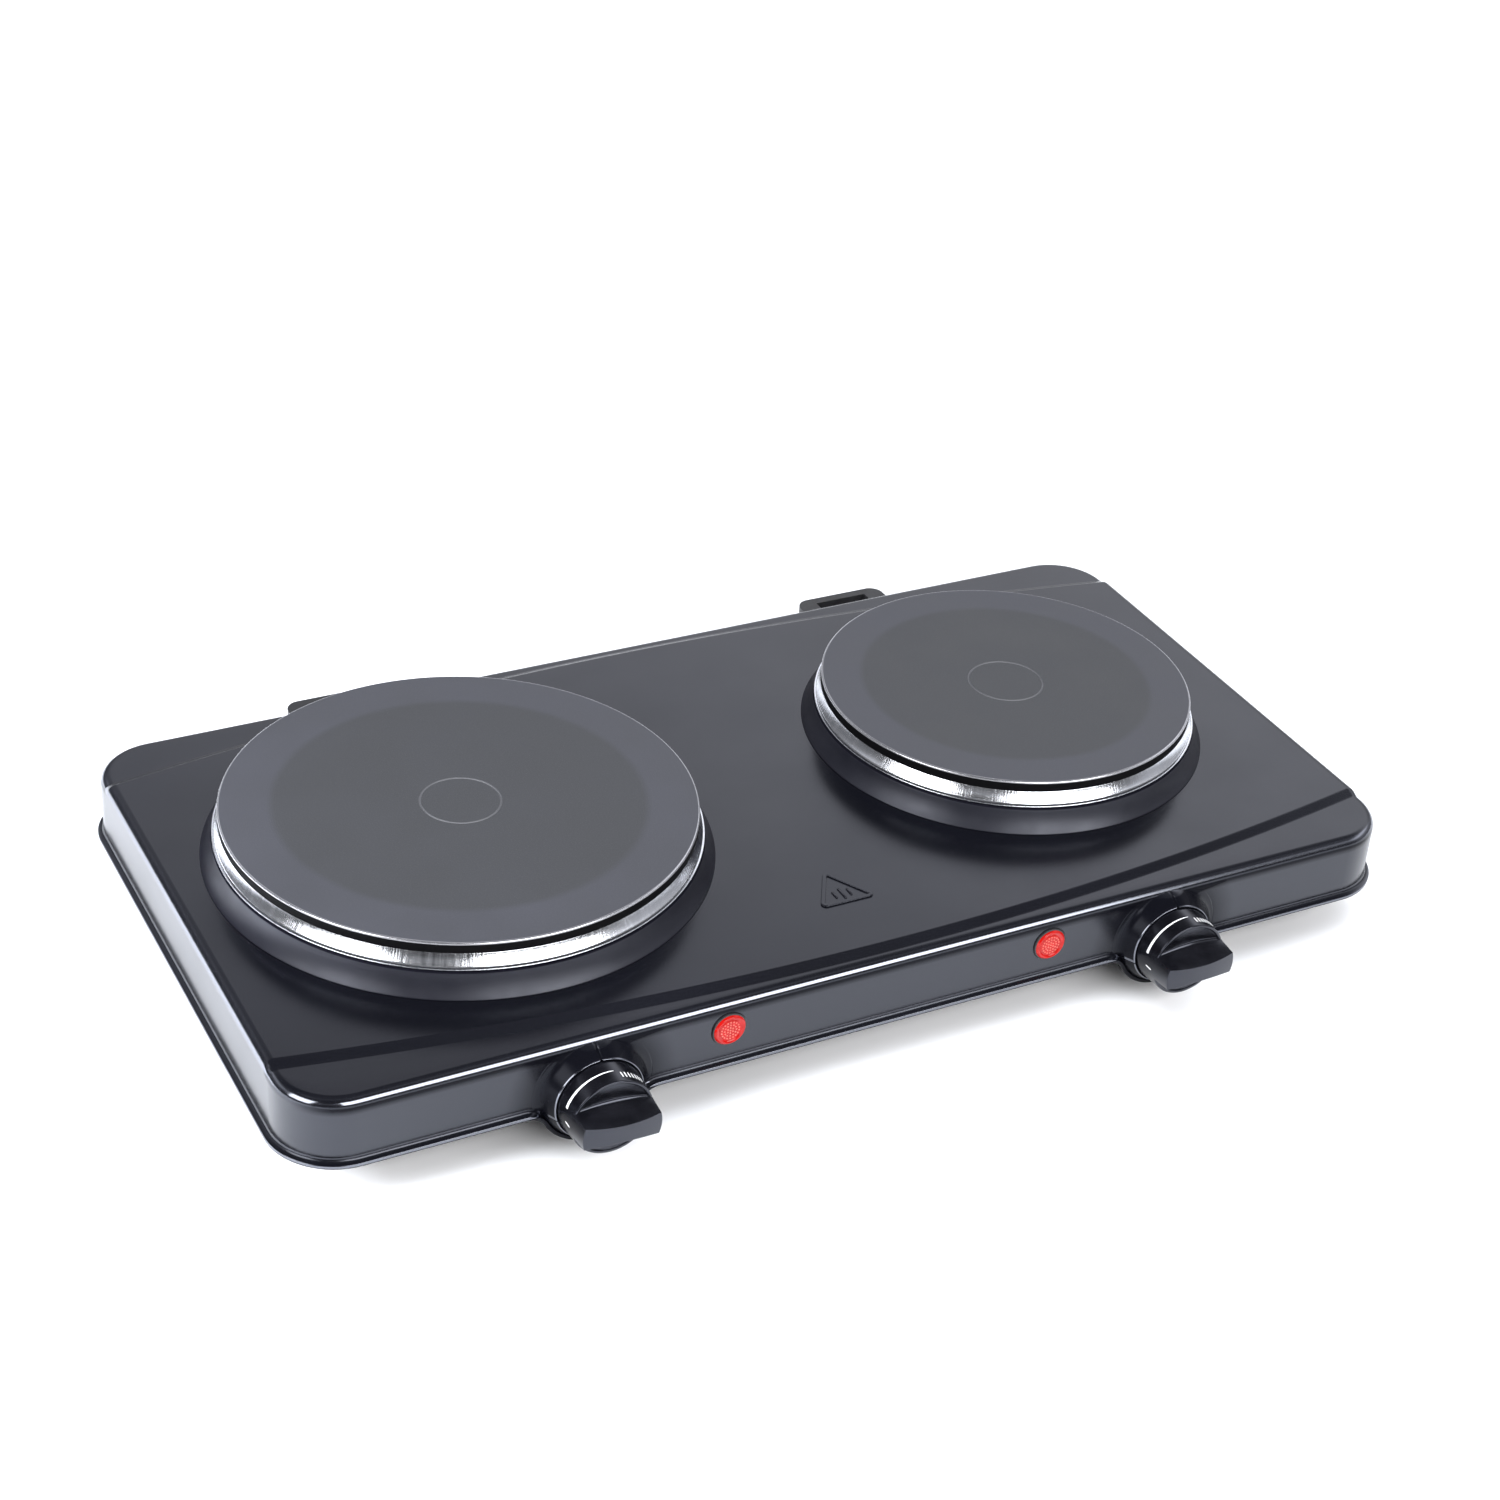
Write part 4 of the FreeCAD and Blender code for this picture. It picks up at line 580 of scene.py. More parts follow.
def cream_ceramic():
    finish = Finish("cream_ceramic", (0.78, 0.75, 0.66), 0.55)
    finish.mottle(3, 5, (0.72, 0.68, 0.58), (0.84, 0.81, 0.73))
    finish.relief(finish.noise(0.5, 4), 0.02)
    return finish.material


def terminal_brass():
    finish = Finish("terminal_brass", (0.7, 0.53, 0.22), 0.3, Metallic=1.0)
    finish.mottle(2, 4, (0.62, 0.45, 0.18), (0.78, 0.6, 0.28))
    return finish.material


def wire_sleeve():
    """Woven glass sleeving."""
    finish = Finish("wire_sleeve", (0.74, 0.72, 0.66), 0.8)
    weave = finish.cells(0.5)
    finish.colour(finish.blend(weave, (0.8, 0.78, 0.72), (0.6, 0.58, 0.52)))
    finish.relief(weave, 0.08)
    return finish.material


# ---- repeated details, grown by geometry nodes ----


def new_tree(name, sockets):
    """A tree with named inputs, and its input and output nodes."""
    tree = bpy.data.node_groups.new(name, "GeometryNodeTree")
    tree.interface.new_socket(name="Geometry", in_out="OUTPUT", socket_type="NodeSocketGeometry")
    for label, kind in sockets:
        tree.interface.new_socket(name=label, in_out="INPUT", socket_type=f"NodeSocket{kind}")
    return tree, tree.nodes.new("NodeGroupInput"), tree.nodes.new("NodeGroupOutput")


def close_tree(tree, entry, leave, geometry):
    """Real geometry with its finish, as every tree ends."""
    real = add_node(tree, "GeometryNodeRealizeInstances", [("Geometry", geometry)])
    coat = add_node(tree, "GeometryNodeSetMaterial",
                    [("Geometry", real.outputs[0]), ("Material", entry.outputs["Finish"])])
    tree.links.new(coat.outputs[0], leave.inputs[0])
    return tree


def marks_round_axis():
    """Small blocks or pips set round an axis that points forward, each turned with its place."""
    tree, entry, leave = new_tree(
        "marks_round_axis",
        [("Count", "Int"), ("Radius", "Float"), ("First angle", "Float"), ("Step angle", "Float"),
         ("Block size", "Vector"), ("Pip radius", "Float"), ("Finish", "Material")],
    )

    def sum_of(operation, *sources):
        made = add_node(tree, "ShaderNodeMath", list(enumerate(sources)), operation=operation)
        return made.outputs[0]

    def vector_of(*links):
        return add_node(tree, "ShaderNodeCombineXYZ", links).outputs[0]

    index = add_node(tree, "GeometryNodeInputIndex").outputs[0]
    angle = sum_of("MULTIPLY_ADD", index, entry.outputs["Step angle"], entry.outputs["First angle"])
    x = sum_of("MULTIPLY", sum_of("SINE", angle), entry.outputs["Radius"])
    z = sum_of("MULTIPLY", sum_of("COSINE", angle), entry.outputs["Radius"])
    points = add_node(tree, "GeometryNodePoints",
                      [("Count", entry.outputs["Count"]), ("Position", vector_of(("X", x), ("Z", z)))])
    block = add_node(tree, "GeometryNodeMeshCube", [("Size", entry.outputs["Block size"])])
    pip = add_node(tree, "GeometryNodeMeshIcoSphere", [("Radius", entry.outputs["Pip radius"])],
                   Subdivisions=2)
    both = add_node(tree, "GeometryNodeJoinGeometry", [(0, pip.outputs[0]), (0, block.outputs[0])])
    copies = add_node(tree, "GeometryNodeInstanceOnPoints",
                      [("Points", points.outputs[0]), ("Instance", both.outputs[0]),
                       ("Rotation", vector_of(("Y", angle)))])
    return close_tree(tree, entry, leave, copies.outputs[0])


def copies_on_points():
    """One copy of a part at each point of the mesh it is given."""
    tree, entry, leave = new_tree(
        "copies_on_points", [("Places", "Object"), ("Part", "Object"), ("Finish", "Material")])
    places, part = [
        add_node(tree, "GeometryNodeObjectInfo", [("Object", entry.outputs[name])])
        for name in ("Places", "Part")
    ]
    points = add_node(tree, "GeometryNodeMeshToPoints", [("Mesh", places.outputs["Geometry"])])
    copies = add_node(tree, "GeometryNodeInstanceOnPoints",
                      [("Points", points.outputs[0]), ("Instance", part.outputs["Geometry"])])
    return close_tree(tree, entry, leave, copies.outputs[0])


def grown(tree, settings):
    """Runs a tree once and gives its result as a plain mesh."""
    host = add_object("grower", bpy.data.meshes.new("grower"))
    grower = host.modifiers.new("grower", "NODES")
    grower.node_group = tree
    for socket in tree.interface.items_tree:
        if socket.in_out == "INPUT" and socket.name in settings:
            grower[socket.identifier] = settings[socket.name]
    evaluated = host.evaluated_get(bpy.context.evaluated_depsgraph_get())
    made = bpy.data.meshes.new_from_object(evaluated)
    host.modifiers.remove(grower)
    bpy.data.objects.remove(host)
    return made


# ---- the pressed housing ----


def crease_line(x):
    """How far from the middle the raised panel's edge is, at a place along the length."""
    bow = (HALF_LENGTH ** 2 + CREASE_DROP ** 2) / (2 * CREASE_DROP)
    return CREASE_MIDDLE - (bow - math.sqrt(bow ** 2 - x ** 2))


def ramp(distance):
    """The panel's rise across its sloped edge, with both bends rounded."""
    soft = 0.17
    t = distance / CREASE_WIDTH
    if t <= -soft:
        return 0.0
    if t < soft:
        return RISE * (t + soft) ** 2 / (4 * soft)
    if t <= 1 - soft:
        return RISE * t
    if t < 1 + soft:
        return RISE * (1 - (1 + soft - t) ** 2 / (4 * soft))
    return RISE


def housing_stations():
    """(anchor, sideways lean, frontward lean) of each column of the top, from end to end."""
    turn_steps, flat_steps = 12, 60
    straight = HALF_LENGTH - CORNER
    quarter = [math.pi / 2 * k / turn_steps for k in range(turn_steps + 1)]
    stations = [(-straight, -math.sin(angle), math.cos(angle)) for angle in reversed(quarter)]
    for k in range(1, flat_steps):
        stations.append((-straight + 2 * straight * k / flat_steps, 0.0, 1.0))
    return stations + [(straight, math.sin(angle), math.cos(angle)) for angle in quarter]


def top_column(x, front):
    """(y, lift) pairs across the top at one place along it, from its front edge to its rear edge."""
    bends = (-0.17, -0.085, 0, 0.085, 0.17, 0.34, 0.5, 0.66, 0.83, 0.915, 1, 1.085, 1.17)
    slope = [bend * CREASE_WIDTH for bend in bends]
    edge = crease_line(x)
    half = [front, front - (front - edge - 0.63) / 2]
    half += [edge - step for step in slope] + [edge * 0.75, edge * 0.4]
    lifts = [0.0, 0.0] + [ramp(step) for step in slope] + [RISE, RISE]
    places = [-y for y in half] + [0.0] + half[::-1]
    return list(zip(places, lifts + [RISE] + lifts[::-1]))


def housing_skin(inset):
    """One skin of the pressing: its top's columns, and its rings over the edge and down the walls."""
    top = SHOULDER_Z - inset
    inner = CORNER - EDGE_ROUND
    stations = housing_stations()
    columns = []
    for anchor, lean_x, lean_y in stations:
        x = anchor + lean_x * inner
        column = top_column(x, HALF_DEPTH - CORNER + lean_y * inner)
        columns.append([Vector((x, MIDDLE_Y + y, top + lift)) for y, lift in column])

    rim = [(column[0], Vector((x, -y, 0))) for column, (_, x, y) in zip(columns, stations)]
    rim += [(point, Vector((1, 0, 0))) for point in columns[-1][1:-1]]
    rear = [(column[-1], Vector((x, y, 0))) for column, (_, x, y) in zip(columns, stations)]
    rim += rear[::-1]
    rim += [(point, Vector((-1, 0, 0))) for point in columns[0][-2:0:-1]]

    bend = EDGE_ROUND - inset
    rings = []
    for k in range(9):
        angle = math.pi / 2 * k / 8
        shift, drop = bend * math.sin(angle), Vector((0, 0, bend * (1 - math.cos(angle))))
        rings.append([point + out * shift - drop for point, out in rim])
    edge_bottom = rings[-1]
    for share in (0.03, 0.35, 0.7, 1.0):
        rings.append([
            Vector((p.x, p.y, p.z + (HEM_Z + WALL_GAP - p.z) * share)) for p in edge_bottom
        ])
    return columns, rings


def housing_walls(shape):
    """Outer and inner skins of the pressing, joined at the bottom edge."""
    edges = []
    for inset in (0, STEEL):
        columns, rings = housing_skin(inset)
        shape.add_grid(columns)
        shape.add_grid(rings, close_columns=True)
        edges.append(rings[-1])
    shape.add_grid(edges, close_columns=True)


def tab_bend(axis):
    """Height of a tab's centre over the hem, and the reach and lean of the fillets beside it."""
    above = axis.z - HEM_Z
    reach = math.sqrt((TAB_RADIUS + TAB_FILLET) ** 2 - (above + TAB_FILLET) ** 2)
    return above, reach, math.atan2(above + TAB_FILLET, reach)


def hem_dip(axis):
    """The hem's line under one knob: down one fillet, round the tab and up the other fillet."""
    _, reach, lean = tab_bend(axis)

    def fillet(side):
        centre = Vector((axis.x + side * reach, FRONT_Y, HEM_Z - TAB_FILLET))
        run = []
        for k in range(11):
            angle = lean + (math.pi / 2 - lean) * (1 - k / 10)
            toward = Vector((-side * math.cos(angle), 0, math.sin(angle)))
            run.append((centre + toward * TAB_FILLET, AHEAD, toward))
        return run

    belly = []
    for k in range(1, 40):
        angle = math.pi + lean + (math.pi - 2 * lean) * k / 40
        away = Vector((math.cos(angle), 0, math.sin(angle)))
        belly.append((Vector((axis.x, FRONT_Y, axis.z)) + away * TAB_RADIUS, AHEAD, -away))
    return fillet(-1) + belly + fillet(1)[::-1]


def hem_route():
    """The hem's bottom line round the housing, dipping under each knob."""
    route = []
    for side in SIDES:
        route += hem_dip(KNOB_AXIS[side])
    for quarter, (x, y) in enumerate(((1, -1), (1, 1), (-1, 1), (-1, -1))):
        middle_x, middle_y = x * (HALF_LENGTH - CORNER), MIDDLE_Y + y * (HALF_DEPTH - CORNER)
        for k in range(17):
            angle = math.pi / 2 * (quarter - 1 + k / 16)
            out = Vector((math.cos(angle), math.sin(angle), 0))
            route.append((Vector((middle_x, middle_y, HEM_Z)) + out * CORNER, out, UP))
    return route


def hem(shape):
    """The hem: a flat lip with a small cove above it that runs up to the wall."""
    section = rounded([(-0.9, 0, 0), (HEM_REACH, 0, 0.35), (HEM_REACH, 1.55, 0.35), (1.7, 1.6, 0)],
                      closed=False)
    section += arc_between((1.7, 1.6), (0.01, 3.6), 0.5)[1:] + [Vector((-0.9, 3.6))]
    sweep(shape, hem_route(), section)


def tab(shape, axis):
    """The flat of the tab behind the hem, under one knob."""
    above, reach, lean = tab_bend(axis)
    fillet, belly = TAB_FILLET + TAB_INSET, TAB_RADIUS - TAB_INSET
    flank = []
    for k in range(11):
        angle = lean + (math.pi / 2 - lean) * (1 - k / 10)
        flank.append((reach - math.cos(angle) * fillet, math.sin(angle) * fillet - above - TAB_FILLET))
    outline = [(-u, v) for u, v in flank]
    for k in range(25):
        angle = math.pi + lean + (math.pi - 2 * lean) * k / 24
        outline.append((math.cos(angle) * belly, math.sin(angle) * belly))
    outline += flank[::-1] + [(reach, TAB_TOP - above), (-reach, TAB_TOP - above)]
    front = [(axis.x + u, FRONT_Y + 0.01, axis.z + v) for u, v in outline]
    back = [(axis.x + u, FRONT_Y + STEEL, axis.z + v) for u, v in outline]
    count = len(outline)
    faces = [list(range(count)), list(range(2 * count - 1, count - 1, -1))]
    faces += [[k, (k + 1) % count, count + (k + 1) % count, count + k] for k in range(count)]
    shape.add(front + back, faces)


def over_the_edge(x, height, out):
    """A point off the front wall, whose height runs on round the top edge and along the top."""
    bend_start = SHOULDER_Z - EDGE_ROUND
    if height <= bend_start:
        return Vector((x, FRONT_Y - out, height))
    angle = (height - bend_start) / EDGE_ROUND
    if angle <= math.pi / 2:
        reach = EDGE_ROUND + out
        y = FRONT_Y + EDGE_ROUND - reach * math.cos(angle)
        return Vector((x, y, bend_start + reach * math.sin(angle)))
    beyond = height - bend_start - EDGE_ROUND * math.pi / 2
    return Vector((x, FRONT_Y + EDGE_ROUND + beyond, SHOULDER_Z + out))


def smooth_step(start, end, value):
    t = min(max((value - start) / (end - start), 0.0), 1.0)
    return t * t * (3 - 2 * t)


def boss_outline(turn):
    """The boss's section of (radius, out) at a turn away from straight up, in radians."""
    slope = Vector((BOSS_BASE - BOSS_RIM, -BOSS_REACH)).normalized()
    flare = 1 - smooth_step(math.radians(94), math.radians(112), turn)
    flare *= smooth_step(math.radians(18), math.radians(50), turn)
    groove = 0.75 if turn < math.radians(1.5) else 0.0
    tangent = 3.2 * max(flare, 0.02)
    corner = Vector((BOSS_BASE, 0))
    start, end = corner - slope * tangent, corner + Vector((tangent, 0))

    outline = [(BOSS_BORE, BOSS_REACH - 2.5), (BOSS_BORE, BOSS_REACH - 1.5),
               (16.9, BOSS_REACH - 1.5), (17.0, BOSS_REACH - 1.45)]
    crest = ((17.06, 0.25), (17.14, 0.06), (17.24, 0.0), (17.36, 0.01), (17.5, 0.14))
    outline += [(radius, BOSS_REACH - drop - groove) for radius, drop in crest]
    rim_edge = Vector((17.56, BOSS_REACH - 0.3))
    for k in range(5):
        point = rim_edge.lerp(start, k / 5)
        outline.append((point.x, point.y - groove))
    for k in range(13):
        t = k / 12
        point = start * (1 - t) ** 2 + corner * 2 * t * (1 - t) + end * t ** 2
        fade = groove * max(0.0, 1 - 1.4 * t)
        outline.append((point.x, max(point.y, -0.02) - fade))
    return outline + [(end.x, -0.3), (BOSS_BORE, -0.3)]


def boss(shape, axis):
    """The cone round a knob: it flows into the wall and the top edge, and holds the index groove."""
    degrees = [-4.2, -2.6, -1.9, -1.4, 0, 1.4, 1.9, 2.6, 4.2]
    degrees += [6 + 348 * k / 140 for k in range(141)]
    rows = []
    for angle in map(math.radians, degrees):
        outline = boss_outline(abs((angle + math.pi) % (2 * math.pi) - math.pi))
        s, c = math.sin(angle), math.cos(angle)
        rows.append([over_the_edge(axis.x + r * s, axis.z + r * c, out) for r, out in outline])
    shape.add_grid(rows, close_rows=True, close_columns=True)


def emblem(shape):
    """A plain raised triangle on the panel, with rounded corners and three short ribs in it."""
    centre = Vector((0, MIDDLE_Y - 79, PANEL_Z))
    corners = []
    for k in range(3):
        angle = math.pi / 2 + 2 * math.pi * k / 3
        corners.append((12.9 * math.cos(angle), 12.9 * math.sin(angle), 1.2))
    line = rounded(corners, steps=8)
    line = [p for k, p in enumerate(line) if (p - line[k - 1]).length > 1e-4]
    route = []
    for k, point in enumerate(line):
        along = (line[(k + 1) % len(line)] - line[k - 1]).normalized()
        route.append((centre + point.to_3d(), Vector((along.y, -along.x, 0)), UP))
    section = rounded([(-0.9, -0.3, 0), (0.9, -0.3, 0), (0.8, 0.6, 0.2), (-0.8, 0.6, 0.2)], steps=3)
    sweep(shape, route, section)
    for x, length in ((-3.2, 4.5), (0, 7.0), (3.2, 4.5)):
        ends = ((-0.5, -1), (0.5, -1), (0.5, 1), (-0.5, 1))
        bar = rounded([(u, end * length / 2, 0.45) for u, end in ends])
        rows = []
        for inset, height in ((0, -0.3), (0, 0.15), (0.08, 0.3), (0.25, 0.38)):
            narrow, short = 1 - inset * 1.6, 1 - inset * 0.2
            rows.append([centre + Vector((x + u * narrow, v * short - 1.2, height)) for u, v in bar])
        rows.append([centre + Vector((x, -1.2, 0.38))] * len(bar))
        shape.add_grid(rows, close_columns=True)


def make_housing(finish):
    shape = Shape()
    housing_walls(shape)
    hem(shape)
    for side in SIDES:
        tab(shape, KNOB_AXIS[side])
        boss(shape, KNOB_AXIS[side])
    emblem(shape)
    piece("housing_pressing", shape, finish, "housing", ["top_housing"])


# ---- burners ----


def make_burner(side, iron, trim, enamel):
    """One plate with its trim ring and its collar, all turned about the same upright axis."""
    radius, top, foot = PLATE_RADIUS[side], PLATE_TOP, PANEL_Z
    centre = Vector((PLATE[side].x, PLATE[side].y, 0))

    def turned(outline):
        return lathe(Shape(), outline, centre, steps=320)

    plate = rounded([
        (0, top, 0), (CIRCLE_RADIUS - 0.5, top, 0.12), (CIRCLE_RADIUS, top - 0.6, 0.12),
        (CIRCLE_RADIUS + 0.5, top, 0.12), (radius, top, 0.85), (radius, top - 4.8, 0.6),
        (radius - 4, top - 5.0, 0), (radius - 4.6, top - 12.5, 0.6), (0, top - 12.5, 0),
    ], steps=6)
    piece(f"{side}_iron_plate", turned(plate), iron, "housing", [f"{side}_plate"])

    high, low = top - 5.1, TRIM_FOOT
    ring = [(radius - 3.8, high + 0.1), (radius - 1.7, high + 0.12)]
    ring += arc_between((radius - 1.2, high), (radius + 1.5, low + 1.35), -0.18, 12)
    ring += rounded([
        (radius + 1.45, low + 1.25, 0), (radius + 0.9, low + 1.1, 0.1),
        (radius + 0.9, low + 0.75, 0.1), (radius + 2.3, low + 0.7, 0.28),
        (radius + 2.3, low + 0.02, 0.28), (radius + 0.6, low + 0.02, 0),
    ], steps=4, closed=False)
    ring += [(radius - 1.8, high - 0.5), (radius - 3.8, high - 0.4)]
    piece(f"{side}_trim", turned(ring), trim, "housing", [f"{side}_trim_ring"])

    lip = low + 0.02
    skirt = [(radius - 4, lip - 0.05), (radius + 1.6, lip - 0.05), (radius + 1.7, lip - 0.5),
             (radius + 2.4, lip - 0.65)]
    skirt += arc_between((radius + 2.6, lip - 0.85), (radius + 6.9, foot + 0.5), -0.45, 12)
    skirt += [(radius + 7.0, foot + 0.25), (radius + 7.0, foot + 0.01),
              (radius + 5.5, foot + 0.01), (radius - 4, lip - 1.2)]
    piece(f"{side}_collar_skirt", turned(skirt), enamel, "housing", [f"{side}_collar"])


# ---- knobs ----


def turned_about(shape, axis, turn):
    """Turns a shape, made upright about a forward axis at the origin, into its place."""
    spin = Matrix.Rotation(turn, 3, "Y")
    shape.points = [spin @ point + Vector((axis.x, FRONT_Y, axis.z)) for point in shape.points]
    return shape


def flank_radius(out):
    """The knob's radius at a distance from the wall."""
    if out < 18:
        return 16.7 - 0.8 * (out - 5.5) / 12.5
    return 15.9 - 0.055 * (out - 18)


def knob_cup(shape):
    """The round skirt with a thin rim, and the floor of the finger hollows inside it."""
    outline = rounded([
        (0, 17.3, 0), (14.5, 17.3, 0.4), (14.8, 18.0, 0.25), (15.9, 18.0, 0.6), (16.7, 5.5, 0.35),
        (14.6, 5.5, 0.2), (14.1, 13.2, 0), (0, 13.2, 0),
    ], steps=5)
    lathe(shape, outline, Vector((0, 0, 0)), forward=True, steps=192)


def knob_grip(shape):
    """The bar across the knob: waisted in front, broad at its root, its ends flush with the skirt."""
    # (distance from the wall, share of the way from the root's width to the front's, root fillet)
    levels = (
        (17.0, 0.0, 1.15), (17.32, 0.0, 1.0), (17.4, 0.02, 0.62), (17.6, 0.05, 0.34),
        (17.9, 0.1, 0.14), (18.3, 0.17, 0.04), (18.9, 0.27, 0), (20.5, 0.52, 0),
        (22.5, 0.76, 0), (24.5, 0.92, 0), (26.2, 1.0, 0),
    )
    along = [-1 + 2 * k / 24 for k in range(25)]
    across = [1 - 2 * k / 8 for k in range(9)]

    def spot(t, side, level):
        """A point of one level at t along the bar and side across it, each from -1 to 1."""
        out, share, fillet = level
        root, front = 7.3 - 2.1 * t * t, 3.7 + 1.0 * t * t
        width = side * (root + (front - root) * share + fillet)
        crown = 1.5 * (1 - t * t) * max(0.0, (out - 18) / 8.2)
        reach = math.sqrt(flank_radius(out) ** 2 - width ** 2)
        return Vector((t * reach, -out - crown, width))

    for side in (1, -1):
        shape.add_grid([[spot(t, side, level) for t in along] for level in levels])
    for level in (levels[-1], levels[0]):
        shape.add_grid([[spot(t, side, level) for t in along] for side in across])
    for end in (-1, 1):
        shape.add_grid([[spot(end, side, level) for side in across] for level in levels])


def dial_crescent(shape):
    """The white band round the knob's skirt, which tapers along its length."""

    def skin(lift):
        rows = []
        for k in range(61):
            share = k / 60
            angle = math.radians(-76 + 81 * share)
            width = 1.0 * (1 - share) ** 0.8 + 0.2
            outs = [12.0 + edge * width / 2 for edge in (-1, -0.5, 0, 0.5, 1)]
            toward = Vector((math.sin(angle), 0, math.cos(angle)))
            rows.append([toward * (flank_radius(out) + lift) + AHEAD * out for out in outs])
        return rows

    outer, inner = skin(0.04), skin(-0.11)
    shape.add_grid(outer)
    shape.add_grid(inner)
    for end in (0, -1):
        shape.add_grid([[row[end] for row in outer], [row[end] for row in inner]])
        shape.add_grid([outer[end], inner[end]])


def make_knob(side, plastic, ink, marks):
    """One knob's cup, grip, white band and ticks, all riding on the knob's body."""
    axis, turn, body = KNOB_AXIS[side], KNOB_TURN[side], f"{side}_knob"
    cup, grip, crescent = Shape(), Shape(), Shape()
    knob_cup(cup)
    knob_grip(grip)
    dial_crescent(crescent)
    piece(f"{side}_knob_cup", turned_about(cup, axis, turn), plastic, body, [f"{side}_knob"])
    piece(f"{side}_knob_grip", turned_about(grip, axis, turn), plastic, body, [],
          soften=0.75)
    piece(f"{side}_dial_band", turned_about(crescent, axis, turn), ink, body, [])
    rows = (
        ("dial_ticks", 7, 14.2, 13, 5.4, (0.42, 3.0, 0.12)),
        ("off_tick", 1, 14.0, -95, 0, (0.6, 4.0, 0.12)),
    )
    for name, count, out, first, step, size in rows:
        mesh = grown(marks, {
            "Count": count, "Radius": (flank_radius(out) + 0.02) * MM,
            "First angle": math.radians(first), "Step angle": math.radians(step),
            "Block size": [edge * MM for edge in size], "Pip radius": 0.0, "Finish": ink,
        })
        spin = Matrix.Rotation(turn, 4, "Y")
        shift = Matrix.Translation(Vector((axis.x, FRONT_Y - out, axis.z)) * MM)
        mesh.transform(shift @ spin)
        finished(f"{side}_{name}", mesh, ink, body, [])


# ---- lamps ----


def make_lamp(side, red, facet, bezel, marks):
    """One lamp's lens with its rings of pips, in a thin black bezel."""
    centre = Vector((LAMP[side].x, FRONT_Y, LAMP[side].z))

    def turned(corners, steps):
        return lathe(Shape(), rounded(corners, steps=steps), centre, forward=True, steps=96)

    lens = turned([
        (0, 1.15, 0), (4.1, 1.2, 0.3), (4.5, 0.95, 0.2), (5.0, 1.3, 0.5), (5.7, 1.65, 0.7),
        (6.5, 0.7, 0.4), (6.5, 0.0, 0), (5.5, 0.0, 0), (5.5, -4.5, 0), (0, -4.5, 0),
    ], 5)
    piece(f"{side}_lens", lens, red, "housing", [f"{side}_lamp_lens"])
    collar = turned([(6.4, 0, 0), (6.4, 0.75, 0.15), (6.9, 0.75, 0.3), (7.25, 0, 0)], 4)
    piece(f"{side}_lens_bezel", collar, bezel, "housing", [])
    for ring, count in enumerate((1, 6, 12, 18)):
        mesh = grown(marks, {
            "Count": count, "Radius": ring * 1.2 * MM, "First angle": 0.0,
            "Step angle": 2 * math.pi / count, "Block size": [0.0, 0.0, 0.0],
            "Pip radius": 0.36 * MM, "Finish": facet,
        })
        mesh.transform(Matrix.Translation((centre + AHEAD * 1.12) * MM))
        finished(f"{side}_lens_pips_{ring}", mesh, facet, "housing", [])


# ---- underside and rear ----


def make_feet(rubber):
    """Ribbed rubber feet with the recess for their screw."""
    for name in ("front_left", "front_right", "rear_left", "rear_right"):
        low, high = span(f"{name}_foot")
        centre = Vector(((low.x + high.x) / 2, (low.y + high.y) / 2, 0))
        height = high.z
        outline = [(4.6, 2.5, 0.3), (4.6, 0, 0.4), (7.4, 0, 0.7)]
        for k in range(4):
            level = height * (0.22 + 0.16 * k)
            radius = 7.6 + 1.3 * level / height
            outline += [(radius, level - 0.45, 0.2), (radius - 0.4, level, 0.2),
                        (radius, level + 0.45, 0.2)]
        outline += [(8.9, height, 0.3), (2.1, height, 0), (2.1, 2.5, 0)]
        piece(f"{name}_foot_pad", lathe(Shape(), rounded(outline, steps=3), centre, steps=72), rubber,
              "housing", [f"{name}_foot"])


def screw_head():
    """A domed head with a cross recess, facing down, about the origin."""
    shape = Shape()
    rows = []
    for ring in range(13):
        radius = 3.0 * ring / 12
        row = []
        for k in range(48):
            angle = 2 * math.pi * k / 48
            x, y = radius * math.cos(angle), radius * math.sin(angle)
            dome = 0.55 * math.sqrt(max(0.0, 1 - (radius / 3.02) ** 2))
            inside = min(abs(x), abs(y)) < 0.36 and max(abs(x), abs(y)) < 1.75
            row.append((x, y, -dome + (0.75 if inside else 0.0)))
        rows.append(row)
    rows.append([(0.0, 0.0, 0.8)] * 48)
    shape.add_grid(rows, close_columns=True)
    return shape


def islands(mesh):
    """Lowest and highest corner of each separate lump of a mesh, in metres."""
    work = bmesh.new()
    work.from_mesh(mesh)
    bmesh.ops.remove_doubles(work, verts=work.verts, dist=1e-6)
    boxes, left = [], set(work.verts)
    while left:
        stack, island = [left.pop()], []
        while stack:
            vertex = stack.pop()
            island.append(vertex.co.copy())
            for edge in vertex.link_edges:
                other = edge.other_vert(vertex)
                if other in left:
                    left.remove(other)
                    stack.append(other)
        boxes.append([[pick(co[k] for co in island) for k in range(3)] for pick in (min, max)])
    work.free()
    return boxes


